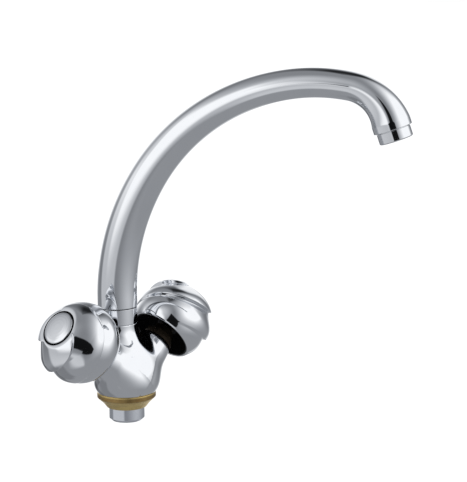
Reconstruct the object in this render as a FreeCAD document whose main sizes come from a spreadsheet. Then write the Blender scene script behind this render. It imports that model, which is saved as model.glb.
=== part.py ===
import FreeCAD, Part
import math
import os
import re
import Sketcher
from FreeCAD import Placement, Rotation, Vector

# Two-knob mixer tap with a swivelling swan-neck spout, in millimetres.
# Origin: on the axis of the mounting shank, in the plane where the body meets the deck.
# +Z is up, +X is the user's side, the hot arm leans to -Y and the cold arm to +Y.

document = FreeCAD.newDocument("mixer_tap")
sheet = document.addObject("Spreadsheet::Sheet", "size")

SIZES = (
    ("base_radius", 20.9, "body where it meets the deck"),
    ("edge_height", 2.6, "end of the rounding over the base"),
    ("edge_radius", 22.4, "body at the end of that rounding"),
    ("belly_height", 9, "widest place of the body"),
    ("belly_radius", 23.8, "body at its widest place"),
    ("shoulder_height", 23, "body between the two arms"),
    ("shoulder_radius", 21.8, "body between the two arms"),
    ("shoulder_share", 0.25, "share of the spout's setback that it has there"),
    ("chest_height", 34, "body above the arms"),
    ("chest_radius", 18, "body above the arms"),
    ("chest_share", 0.65, "share of the spout's setback that it has there"),
    ("throat_height", 43.5, "body below the spout nut"),
    ("throat_radius", 14.7, "body below the spout nut"),
    ("throat_share", 0.95, "share of the spout's setback that it has there"),
    ("neck_height", 49.6, "face that the spout nut meets"),
    ("neck_radius", 14.2, "body at that face"),
    ("spout_setback", 7.3, "spout axis behind the shank axis"),
    ("arm_forward", 2, "arm axes in front of the shank axis"),
    ("arm_apex_height", 9.5, "height at which the arm axes meet"),
    ("arm_rise", 36.6, "degrees of each arm above level"),
    ("arm_length", 36.5, "from the apex to the arm's end face"),
    ("arm_end_radius", 12.2, "arm at its end face"),
    ("arm_root", 5, "where the arm starts on its axis"),
    ("arm_root_radius", 17.5, "arm where it starts"),
    ("headwork_depth", 20, "from the arm's end face down to the seat"),
    ("arm_bore", 9.6, "radius of the threaded bore in the arm"),
    ("seat_bore", 4.8, "radius of the hole through the valve seat"),
    ("feed_radius", 3.2, "radius of the channels for hot and cold water"),
    ("mix_radius", 2.8, "radius of the channel from the arms to the socket"),
    ("mix_height", 32, "height of that channel"),
    ("mix_setback", 4, "that channel behind the shank axis"),
    ("mix_half_length", 20, "that channel to each side"),
    ("socket_floor", 29, "height of the bottom of the spout socket"),
    ("socket_radius", 9.5, "bore of the spout socket"),
    ("neck_thread_radius", 12, "threaded boss above the neck face"),
    ("neck_thread_length", 7.6, "height of that boss"),
    ("shank_radius", 12.8, "outside of the mounting shank"),
    ("shank_length", 21, "shank below the deck plane"),
    ("shank_chamfer", 1.8, "chamfer at the lower end of the shank"),
    ("shank_neck_radius", 12.6, "thread of the shank for the clamp nut"),
    ("shank_neck_show", 0.3, "how far that thread shows below the nut"),
    ("shank_thread_radius", 11, "threaded top of the shank"),
    ("shank_thread_length", 8, "depth of that thread in the body"),
    ("shank_gasket_thickness", 1, "fibre disc above the shank"),
    ("hose_spacing", 10.8, "between the two hose threads"),
    ("hose_radius", 4.5, "core radius of an M10 hose thread"),
    ("hose_depth", 12, "depth of the hose threads"),
    ("seal_inner", 15.6, "inside of the base seal"),
    ("seal_outer", 18.4, "outside of the base seal"),
    ("seal_thickness", 1.5, "height of the base seal"),
    ("flange_radius", 21.2, "flange of the clamp nut"),
    ("flange_thickness", 3.6, "flange of the clamp nut"),
    ("clamp_step_radius", 17, "cone of the clamp nut at its step"),
    ("clamp_step_depth", 7.6, "that step below the deck plane"),
    ("clamp_foot_radius", 14.4, "lower end of the clamp nut"),
    ("clamp_length", 11, "height of the clamp nut"),
    ("nut_height", 11.2, "height of the spout nut"),
    ("nut_lip", 2, "lip at the top of the spout nut"),
    ("nut_radius", 14.1, "outside of the spout nut"),
    ("slip_ring_thickness", 0.5, "plastic ring under the spout"),
    ("slip_ring_radius", 13.7, "outside of that ring"),
    ("stem_radius", 9.42, "spout stem in its socket"),
    ("stem_bore", 6, "water way through the stem"),
    ("stem_reach", 13.6, "stem below the neck face"),
    ("stem_plug_height", 6, "disc of the stem in the foot of the tube"),
    ("retainer_groove", 8.3, "groove of the retaining ring"),
    ("retainer_radius", 11.2, "outside of the retaining ring"),
    ("retainer_thickness", 1.2, "height of the retaining ring"),
    ("o_ring_wire", 1, "half the thickness of a stem o-ring"),
    ("o_ring_height", 3.5, "lower o-ring above the stem's end"),
    ("o_ring_spacing", 6, "between the two o-rings"),
    ("spout_swing", 29, "degrees that the spout is swung to the cold side"),
    ("spout_straight", 7, "straight foot of the spout"),
    ("rise_bend", 163.6, "radius of the first bend"),
    ("rise_turn", 32.6, "degrees of the first bend"),
    ("arch_bend", 142.8, "radius of the second bend"),
    ("arch_turn", 49.2, "degrees of the second bend"),
    ("crown_bend", 130, "radius of the bend over the top"),
    ("crown_turn", 18.6, "degrees of that bend"),
    ("nose_bend", 36, "radius of the bend at the mouth"),
    ("nose_turn", 61.2, "degrees of that bend"),
    ("mouth_straight", 5, "straight end of the spout"),
    ("foot_radius", 14.25, "spout at its foot"),
    ("slender_radius", 10.15, "spout where it is thinnest"),
    ("mouth_radius", 13.7, "spout at its mouth"),
    ("flare_power", 1.6, "how late the mouth widens"),
    ("spout_wall", 1.5, "wall of the spout"),
    ("mouth_bore", 12, "bore for the aerator"),
    ("mouth_bore_depth", 8.2, "depth of that bore"),
    ("aerator_thread", 5.9, "length of the aerator in the mouth"),
    ("aerator_drop", 8, "aerator below the mouth"),
    ("aerator_radius", 12, "ring of the aerator"),
    ("aerator_groove", 0.5, "dark line above that ring"),
    ("aerator_chamfer", 0.6, "chamfer of that ring"),
    ("aerator_bore", 10.4, "inside of the ring"),
    ("aerator_lip", 1.3, "lip under the insert"),
    ("aerator_opening", 9.3, "radius of the opening in the lip"),
    ("insert_wall", 1.3, "wall of the insert"),
    ("insert_web", 1.6, "perforated top of the insert"),
    ("insert_holes", 10, "number of its holes"),
    ("insert_hole_radius", 1.2, "radius of its holes"),
    ("insert_hole_circle", 6, "radius of the circle they lie on"),
    ("screen_thickness", 0.4, "each screen"),
    ("screen_spacing", 1.8, "between the wires of a screen"),
    ("screen_gap", 1.2, "width of the openings in a screen"),
    ("screen_step", 1.4, "from one screen to the next"),
    ("disc_radius", 7.2, "ceramic discs"),
    ("fixed_disc_thickness", 3.5, "lower ceramic disc"),
    ("moving_disc_thickness", 3.2, "upper ceramic disc"),
    ("seat_seal_thickness", 2, "rubber under the lower disc"),
    ("seat_seal_bore", 5.2, "radius of the hole in that rubber"),
    ("port_inner", 2.2, "inner radius of the ports"),
    ("port_outer", 5.2, "outer radius of the lower port"),
    ("port_angle", 150, "degrees that a port spans"),
    ("drive_width", 2.4, "lug between spindle and upper disc"),
    ("drive_length", 5.2, "length of that lug"),
    ("drive_height", 1.2, "height of that lug"),
    ("cage_radius", 8.4, "bonnet around the discs"),
    ("cage_window", 8, "width of the windows in the bonnet"),
    ("bonnet_thread_length", 6.5, "threaded part of the bonnet"),
    ("bonnet_washer_thickness", 1, "washer on the arm's end face"),
    ("bonnet_flange_radius", 11.4, "flange of the bonnet"),
    ("bonnet_flange_height", 1.4, "flange of the bonnet"),
    ("hexagon_flats", 19, "across the flats of the bonnet"),
    ("hexagon_height", 3.4, "height of the hexagon"),
    ("bonnet_neck_radius", 7.4, "neck of the bonnet"),
    ("bonnet_height", 11, "bonnet above the arm's end face"),
    ("spindle_radius", 4.05, "spindle in the bonnet"),
    ("spindle_foot_height", 2.5, "foot of the spindle on the disc"),
    ("thrust_washer_thickness", 0.5, "washer above that foot"),
    ("spindle_wire", 0.6, "half the thickness of a spindle o-ring"),
    ("spindle_groove", 2.9, "floor of the o-ring grooves"),
    ("spindle_ring_depth", 3, "lower o-ring below the arm's end face"),
    ("spindle_ring_spacing", 5, "between the two o-rings"),
    ("clip_groove", 3.1, "floor of the snap ring's groove"),
    ("clip_radius", 6, "outside of the snap ring"),
    ("clip_thickness", 1, "snap ring"),
    ("clip_opening", 40, "degrees of the gap in the snap ring"),
    ("square_side", 5.6, "square end of the spindle"),
    ("square_start", 14, "square end above the arm's end face"),
    ("square_length", 12, "length of the square end"),
    ("knob_gap", 6.1, "from the arm's end face to the knob's rim"),
    ("knob_length", 39.4, "from the rim to the front of the knob"),
    ("knob_radius", 29, "ball of the knob at its widest"),
    ("knob_middle", 18.4, "widest place in front of the rim"),
    ("rim_radius", 23.34, "ball where it ends in the open rim"),
    ("front_radius", 16.45, "ball where it ends around the cap"),
    ("knob_wall", 2.2, "wall of the knob"),
    ("swirl_count", 3, "swirled lobes"),
    ("swirl_rate", 5.86, "degrees that a lobe turns in a millimetre"),
    ("swirl_depth", 3.8, "depth of the hollow beside a lobe"),
    ("swirl_edge", 0.1, "share of a lobe taken by its crisp edge"),
    ("swirl_ease", 1.3, "how late a lobe climbs back to the next edge"),
    ("swirl_grow", 0.75, "share of the knob's length over which the hollows deepen"),
    ("swirl_shrink", 0.75, "share of the length from which they get shallower"),
    ("swirl_loss", 0.4, "share of their depth that they lose beside the cap"),
    ("swirl_phase", -16, "degrees of the hot knob at rest"),
    ("cold_phase", 65, "degrees that the cold knob is ahead of it"),
    ("hub_radius", 8, "hub inside the knob"),
    ("hub_start", 8.6, "hub behind the rim"),
    ("hub_flare", 4, "widening of the hub at its web"),
    ("insert_radius", 6, "bush in the hub"),
    ("web_thickness", 3, "web of the hub under the screw's head"),
    ("screw_radius", 2, "thread of the knob screw"),
    ("screw_head_radius", 3.8, "head of the knob screw"),
    ("screw_head_height", 2.5, "head of the knob screw"),
    ("screw_depth", 8, "thread of the screw in the spindle"),
    ("screw_key", 1.5, "radius of the six-sided hole in the head"),
    ("counterbore", 5, "radius of the hole for the screw's head"),
    ("cap_radius", 11.8, "disc in the front of the knob"),
    ("cap_groove", 1.1, "dark groove around the disc"),
    ("cap_recess", 3.2, "depth of the seat of the disc"),
    ("cap_rim", 0.3, "rim of the disc in front of the knob"),
    ("cap_dome", 1.5, "height of its crown"),
    ("cap_chamfer", 0.6, "chamfer at the back of the disc"),
    ("cap_spigot", 6, "length of the stub that holds the disc"),
    ("running_fit", 0.08, "between a turning piece and its bore"),
    ("seat_gap", 0.05, "between two pieces that are put together"),
    ("overrun", 1, "by which a hole's tool passes the piece"),
)

for row, (alias, value, note) in enumerate(SIZES, start=1):
    sheet.set("A%d" % row, alias)
    sheet.set("B%d" % row, str(value))
    sheet.set("C%d" % row, note)
    sheet.setAlias("B%d" % row, alias)
document.recompute()

nodes = []


def bound(text):
    """The expression with every word but a function's turned into the sheet's cell."""
    return re.sub(r"\b[a-z]\w+\b(?!\()", r"size.\g<0>", text)


def read(text):
    """The number that such an expression stands for now."""
    return float(sheet.evalExpression(bound(text)))


def bind(target, **properties):
    """Tie properties of an object to expressions of the sheet."""
    for name, text in properties.items():
        target.setExpression(name.replace("__", "."), bound(text))


def lift(target, height, forward="0", aside="0"):
    """Place an object that stands upright."""
    bind(target, Placement__Base__x=forward, Placement__Base__y=aside)
    bind(target, Placement__Base__z=height)
    return target


def tilt(target, side):
    """Place an object on the axis of an arm: side is -1 for hot, 1 for cold."""
    lean = Rotation(Vector(-side, 0, 0), read("90 - arm_rise"))
    target.Placement = Placement(Vector(), lean)
    bind(target, Placement__Base__x="arm_forward", Placement__Base__z="arm_apex_height")
    bind(target, Placement__Rotation__Angle="90 - arm_rise")
    return target


def node(target, label):
    """Name a finished piece, which is written to a file of that name."""
    target.Label = label
    nodes.append(target)
    return target


def profile(body, name, role, outline):
    """A closed outline of (radius, height) expressions on an origin plane of the body."""
    sketch = body.newObject("Sketcher::SketchObject", name)
    plane = [item for item in body.Origin.OriginFeatures if item.Role == role][0]
    sketch.AttachmentSupport = (plane, [""])
    sketch.MapMode = "FlatFace"
    corners = [Vector(read(across), read(along), 0) for across, along in outline]
    for index, corner in enumerate(corners):
        following = corners[(index + 1) % len(corners)]
        sketch.addGeometry(Part.LineSegment(corner, following))
    for index in range(len(corners)):
        following = (index + 1) % len(corners)
        sketch.addConstraint(Sketcher.Constraint("Coincident", index, 2, following, 1))
    for index, (across, along) in enumerate(outline):
        for kind, text, axis in (("DistanceX", across, -2), ("DistanceY", along, -1)):
            if text == "0":
                sketch.addConstraint(Sketcher.Constraint("PointOnObject", index, 1, axis))
            else:
                rule = Sketcher.Constraint(kind, -1, 1, index, 1, read(text))
                number = sketch.addConstraint(rule)
                sketch.setExpression("Constraints[%d]" % number, bound(text))
    return sketch


def turned(name, outline):
    """A piece turned on a lathe: the outline revolved about the Z axis."""
    body = document.addObject("PartDesign::Body", name)
    sketch = profile(body, name + "_outline", "XZ_Plane", outline)
    turning = body.newObject("PartDesign::Revolution", name + "_turning")
    turning.Profile = sketch
    turning.ReferenceAxis = (sketch, ["V_Axis"])
    turning.Angle = 360
    return body


def ring(name, inner, outer, bottom, top):
    """A turned piece with a plain hole."""
    corners = [(inner, bottom), (outer, bottom), (outer, top), (inner, top)]
    return turned(name, corners)


def drill(name, radius, length):
    """A round bar along Z, used as a hole."""
    bar = document.addObject("Part::Cylinder", name)
    bind(bar, Radius=radius, Height=length)
    return bar


def block(name, length, width, height):
    bar = document.addObject("Part::Box", name)
    bind(bar, Length=length, Width=width, Height=height)
    return bar


def cut(name, base, *tools):
    """The base with each tool taken away, one after the other."""
    for number, tool in enumerate(tools, start=1):
        result = document.addObject("Part::Cut", "%s_cut_%d" % (name, number))
        result.Base = base
        result.Tool = tool
        base = result
    return base


def join(name, *pieces):
    result = document.addObject("Part::MultiFuse", name)
    result.Shapes = list(pieces)
    return result


def group(name, *pieces):
    """Separate solids that share one node."""
    result = document.addObject("Part::Compound", name)
    result.Links = list(pieces)
    return result


def torus(name, radius, wire):
    loop = document.addObject("Part::Torus", name)
    bind(loop, Radius1=radius, Radius2=wire)
    return loop


# Mixer body

# The column of the body is lofted through level circles whose centres move back to the
# spout axis, and the two arms are cones on the arm axes.

COLUMN = (
    ("foot", "0", "base_radius", "0"),
    ("edge", "edge_height", "edge_radius", "0"),
    ("belly", "belly_height", "belly_radius", "0"),
    ("shoulder", "shoulder_height", "shoulder_radius", "shoulder_share * spout_setback"),
    ("chest", "chest_height", "chest_radius", "chest_share * spout_setback"),
    ("throat", "throat_height", "throat_radius", "throat_share * spout_setback"),
    ("neck", "neck_height", "neck_radius", "spout_setback"),
)
sections = []
for name, height, radius, setback in COLUMN:
    circle = document.addObject("Part::Circle", "column_" + name)
    bind(circle, Radius=radius)
    sections.append(lift(circle, height, "-(%s)" % setback))
column = document.addObject("Part::Loft", "column")
column.Sections = sections
column.Solid = True
column.Ruled = False

body_solids = [column]
for side, hand in ((-1, "hot"), (1, "cold")):
    arm = turned(hand + "_arm", [
        ("0", "arm_root"),
        ("arm_root_radius", "arm_root"),
        ("arm_end_radius", "arm_length"),
        ("0", "arm_length"),
    ])
    body_solids.append(tilt(arm, side))
boss = drill("neck_boss", "neck_thread_radius", "neck_thread_length + overrun")
body_solids.append(lift(boss, "neck_height - overrun", "-spout_setback"))
casting = join("casting", *body_solids)

# The underside is faced flat, the channels meet the valve holes where these cross them.

facing = drill("base_facing", "2 * belly_radius", "arm_root_radius")
body_holes = [lift(facing, "-arm_root_radius")]
socket = drill("spout_socket", "socket_radius", "neck_height + neck_thread_length")
body_holes.append(lift(socket, "socket_floor", "-spout_setback"))
shank_bore = drill("shank_bore", "shank_thread_radius + seat_gap",
                   "shank_thread_length + shank_gasket_thickness")
body_holes.append(shank_bore)
body_holes.append(ring("seal_groove", "seal_inner - seat_gap", "seal_outer + seat_gap",
                       "0", "seal_thickness + seat_gap"))
mix = drill("mix_channel", "mix_radius", "2 * mix_half_length")
mix.Placement = Placement(Vector(), Rotation(Vector(1, 0, 0), -90))
body_holes.append(lift(mix, "mix_height", "-mix_setback", "-mix_half_length"))
feed_meets = "hose_spacing / (2 * cos(arm_rise))"
feed_top = "arm_apex_height + hose_spacing / 2 * tan(arm_rise) + feed_radius"
for side, hand in ((-1, "hot"), (1, "cold")):
    valve_hole = turned(hand + "_valve_hole", [
        ("0", feed_meets),
        ("seat_bore", feed_meets),
        ("seat_bore", "arm_length - headwork_depth"),
        ("arm_bore", "arm_length - headwork_depth"),
        ("arm_bore", "arm_length + overrun"),
        ("0", "arm_length + overrun"),
    ])
    body_holes.append(tilt(valve_hole, side))
    feed = drill(hand + "_feed", "feed_radius", feed_top)
    body_holes.append(lift(feed, "0", "0", "%d * hose_spacing / 2" % side))
node(cut("mixer_body", casting, *body_holes), "mixer_body")

# Mounting shank

# It is drawn standing on its lower end, and holds the two hose threads side by side.

shank = turned("shank_blank", [
    ("0", "0"),
    ("shank_radius - shank_chamfer", "0"),
    ("shank_radius", "shank_chamfer"),
    ("shank_radius", "shank_length - clamp_length - shank_neck_show"),
    ("shank_neck_radius", "shank_length - clamp_length - shank_neck_show"),
    ("shank_neck_radius", "shank_length"),
    ("shank_thread_radius", "shank_length"),
    ("shank_thread_radius", "shank_length + shank_thread_length"),
    ("0", "shank_length + shank_thread_length"),
])
lift(shank, "-shank_length")
shank_holes = []
gasket_holes = []
for side, hand in ((-1, "hot"), (1, "cold")):
    hose = drill(hand + "_hose_thread", "hose_radius", "hose_depth")
    shank_holes.append(lift(hose, "-shank_length", "0", "%d * hose_spacing / 2" % side))
    way = drill(hand + "_shank_way", "feed_radius", "shank_length + shank_thread_length")
    shank_holes.append(lift(way, "-shank_length", "0", "%d * hose_spacing / 2" % side))
    hole = drill(hand + "_gasket_way", "feed_radius",
                 "shank_gasket_thickness + 2 * overrun")
    gasket_holes.append(lift(hole, "shank_thread_length - overrun", "0",
                             "%d * hose_spacing / 2" % side))
node(cut("mounting_shank", shank, *shank_holes), "mounting_shank")

gasket = drill("gasket_blank", "shank_thread_radius", "shank_gasket_thickness")
lift(gasket, "shank_thread_length")
node(cut("shank_gasket", gasket, *gasket_holes), "shank_gasket")

# Base seal and clamp nut

base_seal = ring("base_seal", "seal_inner", "seal_outer", "0", "seal_thickness")
node(base_seal, "base_seal")

clamp_nut = turned("clamp_nut", [
    ("shank_radius + seat_gap", "0"),
    ("clamp_foot_radius", "0"),
    ("clamp_step_radius", "clamp_length - clamp_step_depth"),
    ("flange_radius", "clamp_length - flange_thickness"),
    ("flange_radius", "clamp_length"),
    ("shank_radius + seat_gap", "clamp_length"),
])
node(lift(clamp_nut, "-clamp_length"), "clamp_nut")

# Spout nut and slip ring

# The nut screws on the neck and its lip holds the retaining ring of the spout down.

spout_nut = turned("spout_nut", [
    ("neck_thread_radius + seat_gap", "seat_gap"),
    ("nut_radius", "seat_gap"),
    ("nut_radius", "nut_height"),
    ("stem_radius + running_fit", "nut_height"),
    ("stem_radius + running_fit", "nut_height - nut_lip"),
    ("neck_thread_radius + seat_gap", "nut_height - nut_lip"),
])
node(lift(spout_nut, "neck_height", "-spout_setback"), "spout_nut")

slip_ring = ring("spout_slip_ring", "stem_radius + running_fit", "slip_ring_radius",
                 "0", "slip_ring_thickness")
node(lift(slip_ring, "neck_height + nut_height", "-spout_setback"), "spout_slip_ring")

# Spout stem, its seals and its retaining ring

# The stem is drawn upwards from its lower end. The disc at its top is fixed in the tube.

stem_top = "neck_height + nut_height + slip_ring_thickness + seat_gap"
stem_foot = "neck_height - stem_reach"
stem_rise = "stem_reach + nut_height + slip_ring_thickness + seat_gap"
ring_bottom = "stem_reach + nut_height - nut_lip - retainer_thickness - seat_gap"


def groove(radius, centre, floor, half):
    """Outline corners of a groove in a stem, going up, for a ring of twice the half."""
    low = "%s - %s - seat_gap" % (centre, half)
    high = "%s + %s + seat_gap" % (centre, half)
    return [(radius, low), (floor, low), (floor, high), (radius, high)]


stem_floor = "stem_radius + running_fit - seat_gap - 2 * o_ring_wire"
stem_outline = [("stem_bore", "0"), ("stem_radius", "0")]
stem_outline += groove("stem_radius", "o_ring_height", stem_floor, "o_ring_wire")
stem_outline += groove("stem_radius", "o_ring_height + o_ring_spacing", stem_floor,
                       "o_ring_wire")
stem_outline += [
    ("stem_radius", ring_bottom + " - seat_gap"),
    ("retainer_groove", ring_bottom + " - seat_gap"),
    ("retainer_groove", ring_bottom + " + retainer_thickness + seat_gap"),
    ("stem_radius", ring_bottom + " + retainer_thickness + seat_gap"),
    ("stem_radius", stem_rise),
    ("foot_radius - spout_wall - 2 * seat_gap", stem_rise),
    ("foot_radius - spout_wall - 2 * seat_gap", stem_rise + " + stem_plug_height"),
    ("stem_bore", stem_rise + " + stem_plug_height"),
]
spout_stem = turned("spout_stem", stem_outline)
node(lift(spout_stem, stem_foot, "-spout_setback"), "spout_stem")

stem_rings = []
heights = ("o_ring_height", "o_ring_height + o_ring_spacing")
for number, height in enumerate(heights, start=1):
    loop = torus("stem_ring_%d" % number,
                 "stem_radius + running_fit - seat_gap - o_ring_wire", "o_ring_wire")
    stem_rings.append(lift(loop, stem_foot + " + " + height, "-spout_setback"))
node(group("spout_o_rings", *stem_rings), "spout_o_rings")

retainer = ring("spout_retaining_ring", "retainer_groove + seat_gap", "retainer_radius",
                "0", "retainer_thickness")
lift(retainer, stem_foot + " + " + ring_bottom, "-spout_setback")
node(retainer, "spout_retaining_ring")

# Spout tube

# Its centre line is a chain of tangent arcs in an upright plane. The tube is round, thins
# towards the top and widens again at the mouth.

BENDS = (("rise_bend", "rise_turn"), ("arch_bend", "arch_turn"),
         ("crown_bend", "crown_turn"), ("nose_bend", "nose_turn"))
arc_lengths = [math.radians(read(turn)) * read(bend) for bend, turn in BENDS]
nose_start = read("spout_straight") + sum(arc_lengths[:3])
spout_length = nose_start + arc_lengths[3] + read("mouth_straight")
swing = math.radians(read("spout_swing"))
outward = Vector(math.cos(swing), math.sin(swing), 0)
sideways = Vector(-math.sin(swing), math.cos(swing), 0)
spout_foot = Vector(-read("spout_setback"), 0, read(stem_top))


def centre_line(distance):
    """Point and direction of the spout's centre line at a distance along it."""
    point = Vector(spout_foot)
    angle = math.pi / 2
    pieces = [(0, read("spout_straight"))]
    pieces += [(read(bend), length) for (bend, turn), length in zip(BENDS, arc_lengths)]
    pieces.append((0, read("mouth_straight")))
    for radius, length in pieces:
        step = min(distance, length)
        if radius:
            turn = step / radius
            chord = 2 * radius * math.sin(turn / 2)
            heading = angle - turn / 2
            angle -= turn
        else:
            chord = step
            heading = angle
        point += (outward * math.cos(heading) + Vector(0, 0, math.sin(heading))) * chord
        distance -= step
    direction = outward * math.cos(angle) + Vector(0, 0, math.sin(angle))
    return point, direction


def spout_radius(distance):
    foot, slender, mouth = read("foot_radius"), read("slender_radius"), read("mouth_radius")
    if distance < nose_start:
        return foot - (foot - slender) * (1 - math.cos(math.pi * distance / nose_start)) / 2
    reach = min(1, (distance - nose_start) / arc_lengths[3])
    return slender + (mouth - slender) * reach ** read("flare_power")


def across(distance, radius):
    """A circle across the centre line."""
    point, direction = centre_line(distance)
    rotation = Rotation(sideways, direction.cross(sideways), direction, "ZXY")
    circle = Part.makeCircle(radius)
    circle.Placement = Placement(point, rotation)
    return Part.Wire([circle])


RISE_STATIONS = 14
NOSE_STATIONS = 7
stations = [nose_start * number / RISE_STATIONS for number in range(RISE_STATIONS + 1)]
stations.insert(1, read("spout_straight"))
nose_length = arc_lengths[3]
stations += [nose_start + nose_length * number / NOSE_STATIONS
             for number in range(1, NOSE_STATIONS + 1)]
stations.append(spout_length)
outer = Part.makeLoft([across(at, spout_radius(at)) for at in stations], True)
inner = Part.makeLoft([across(at, spout_radius(at) - read("spout_wall"))
                       for at in stations], True)
mouth_point, mouth_direction = centre_line(spout_length)
mouth_depth = read("mouth_bore_depth")
mouth_hole = Part.makeCylinder(read("mouth_bore"), mouth_depth,
                               mouth_point - mouth_direction * mouth_depth, mouth_direction)
spout_tube = document.addObject("Part::Feature", "spout_tube")
spout_tube.Shape = outer.cut(inner).cut(mouth_hole)
node(spout_tube, "spout_tube")

# Aerator

# Its pieces are drawn along the mouth's own axis, from the deep end of the bore outwards.

mouth_turn = Rotation(sideways, mouth_direction.cross(sideways), mouth_direction, "ZXY")


def at_mouth(target):
    """Place a piece whose zero is at the deep end of the mouth's bore."""
    target.Placement = Placement(mouth_point - mouth_direction * mouth_depth, mouth_turn)
    return target


shell_start = "mouth_bore_depth - aerator_thread"
shell_end = "mouth_bore_depth + aerator_drop"
aerator_shell = turned("aerator_shell", [
    ("aerator_bore", shell_start),
    ("mouth_bore - seat_gap", shell_start),
    ("mouth_bore - seat_gap", "mouth_bore_depth"),
    ("aerator_radius - aerator_groove", "mouth_bore_depth"),
    ("aerator_radius - aerator_groove", "mouth_bore_depth + aerator_groove"),
    ("aerator_radius", "mouth_bore_depth + aerator_groove"),
    ("aerator_radius", shell_end + " - aerator_chamfer"),
    ("aerator_radius - aerator_chamfer", shell_end),
    ("aerator_opening", shell_end),
    ("aerator_opening", shell_end + " - aerator_lip"),
    ("aerator_bore", shell_end + " - aerator_lip"),
])
node(at_mouth(aerator_shell), "aerator_shell")

washer = ring("aerator_washer", "aerator_opening", "mouth_bore - seat_gap",
              "seat_gap", shell_start + " - seat_gap")
node(at_mouth(washer), "aerator_washer")

insert_end = shell_end + " - aerator_lip - seat_gap"
insert_outer = "aerator_bore - seat_gap"
insert_inner = "aerator_bore - seat_gap - insert_wall"
aerator_insert = turned("aerator_insert", [
    ("0", shell_start),
    (insert_outer, shell_start),
    (insert_outer, insert_end),
    (insert_inner, insert_end),
    (insert_inner, shell_start + " + insert_web"),
    ("0", shell_start + " + insert_web"),
])
document.recompute()
hole_sketch = aerator_insert.newObject("Sketcher::SketchObject", "insert_hole_outline")
plane = [item for item in aerator_insert.Origin.OriginFeatures if item.Role == "XY_Plane"]
hole_sketch.AttachmentSupport = (plane[0], [""])
hole_sketch.MapMode = "FlatFace"
hole_circle = Part.Circle(Vector(read("insert_hole_circle"), 0, 0), Vector(0, 0, 1),
                          read("insert_hole_radius"))
hole_sketch.addGeometry(hole_circle)
hole_sketch.addConstraint(Sketcher.Constraint("PointOnObject", 0, 3, -1))
rule = hole_sketch.addConstraint(
    Sketcher.Constraint("DistanceX", -1, 1, 0, 3, read("insert_hole_circle")))
hole_sketch.setExpression("Constraints[%d]" % rule, bound("insert_hole_circle"))
rule = hole_sketch.addConstraint(
    Sketcher.Constraint("Radius", 0, read("insert_hole_radius")))
hole_sketch.setExpression("Constraints[%d]" % rule, bound("insert_hole_radius"))
pocket = aerator_insert.newObject("PartDesign::Pocket", "insert_hole")
pocket.Profile = hole_sketch
pocket.Type = "ThroughAll"
pocket.Midplane = True
holes = aerator_insert.newObject("PartDesign::PolarPattern", "insert_hole_ring")
holes.Originals = [pocket]
holes.Axis = (hole_sketch, ["N_Axis"])
holes.Angle = 360
holes.setExpression("Occurrences", bound("insert_holes"))
aerator_insert.Tip = holes
node(at_mouth(aerator_insert), "aerator_insert")

# Each screen is a disc with a grid of square openings.

screen_radius = read(insert_inner + " - seat_gap")
screen_thickness = read("screen_thickness")
spacing = read("screen_spacing")
gap = read("screen_gap")
overrun = read("overrun")
grid = int(screen_radius // spacing)
openings = []
for row in range(-grid, grid + 1):
    for line in range(-grid, grid + 1):
        if math.hypot(row * spacing, line * spacing) + gap < screen_radius:
            corner = Vector(row * spacing - gap / 2, line * spacing - gap / 2, -overrun)
            openings.append(Part.makeBox(gap, gap, screen_thickness + 2 * overrun, corner))
screen_shape = Part.makeCylinder(screen_radius, screen_thickness).cut(openings)
screens = []
for number in (1, 2):
    screen = document.addObject("Part::Feature", "screen_%d" % number)
    depth = read(insert_end) - number * read("screen_step")
    screen.Shape = screen_shape
    screen.Placement = Placement(
        mouth_point + mouth_direction * (depth - mouth_depth), mouth_turn)
    screens.append(screen)
node(group("aerator_screens", *screens), "aerator_screens")

# Headworks

# Everything in an arm is drawn along the arm axis, measured from the apex of the arms.

seat = "(arm_length - headwork_depth)"
fixed_at = seat + " + seat_seal_thickness"
moving_at = fixed_at + " + fixed_disc_thickness + seat_gap"
foot_at = moving_at + " + moving_disc_thickness + seat_gap"
thrust_at = foot_at + " + spindle_foot_height + seat_gap"
shoulder_at = thrust_at + " + thrust_washer_thickness + seat_gap"
disc_bore = "disc_radius + running_fit"
spindle_bore = "spindle_radius + running_fit"
bonnet_top = "arm_length + bonnet_height"
clip_at = bonnet_top + " + seat_gap"
flange_at = "arm_length + bonnet_washer_thickness"
hexagon_at = flange_at + " + bonnet_flange_height"


def port(name, side, inner, outer, bottom, height, turn):
    """A hole that spans a part of a ring, with its middle at the angle of turn."""
    wedge = drill(name + "_wedge", outer, height)
    bind(wedge, Angle="port_angle")
    core = drill(name + "_core", inner, height)
    hole = document.addObject("Part::Cut", name)
    hole.Base = wedge
    hole.Tool = core
    start = turn - read("port_angle") / 2
    spin = Placement(Vector(0, 0, read(bottom)), Rotation(Vector(0, 0, 1), start))
    hole.Placement = arm_frame(side) * spin
    return hole


def arm_frame(side):
    lean = Rotation(Vector(-side, 0, 0), 90 - read("arm_rise"))
    return Placement(Vector(read("arm_forward"), 0, read("arm_apex_height")), lean)


def in_arm(target, side, corner):
    """Place a block or bar by its own corner on the arm axis."""
    target.Placement = arm_frame(side) * Placement(Vector(*corner), Rotation())
    return target


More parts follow.
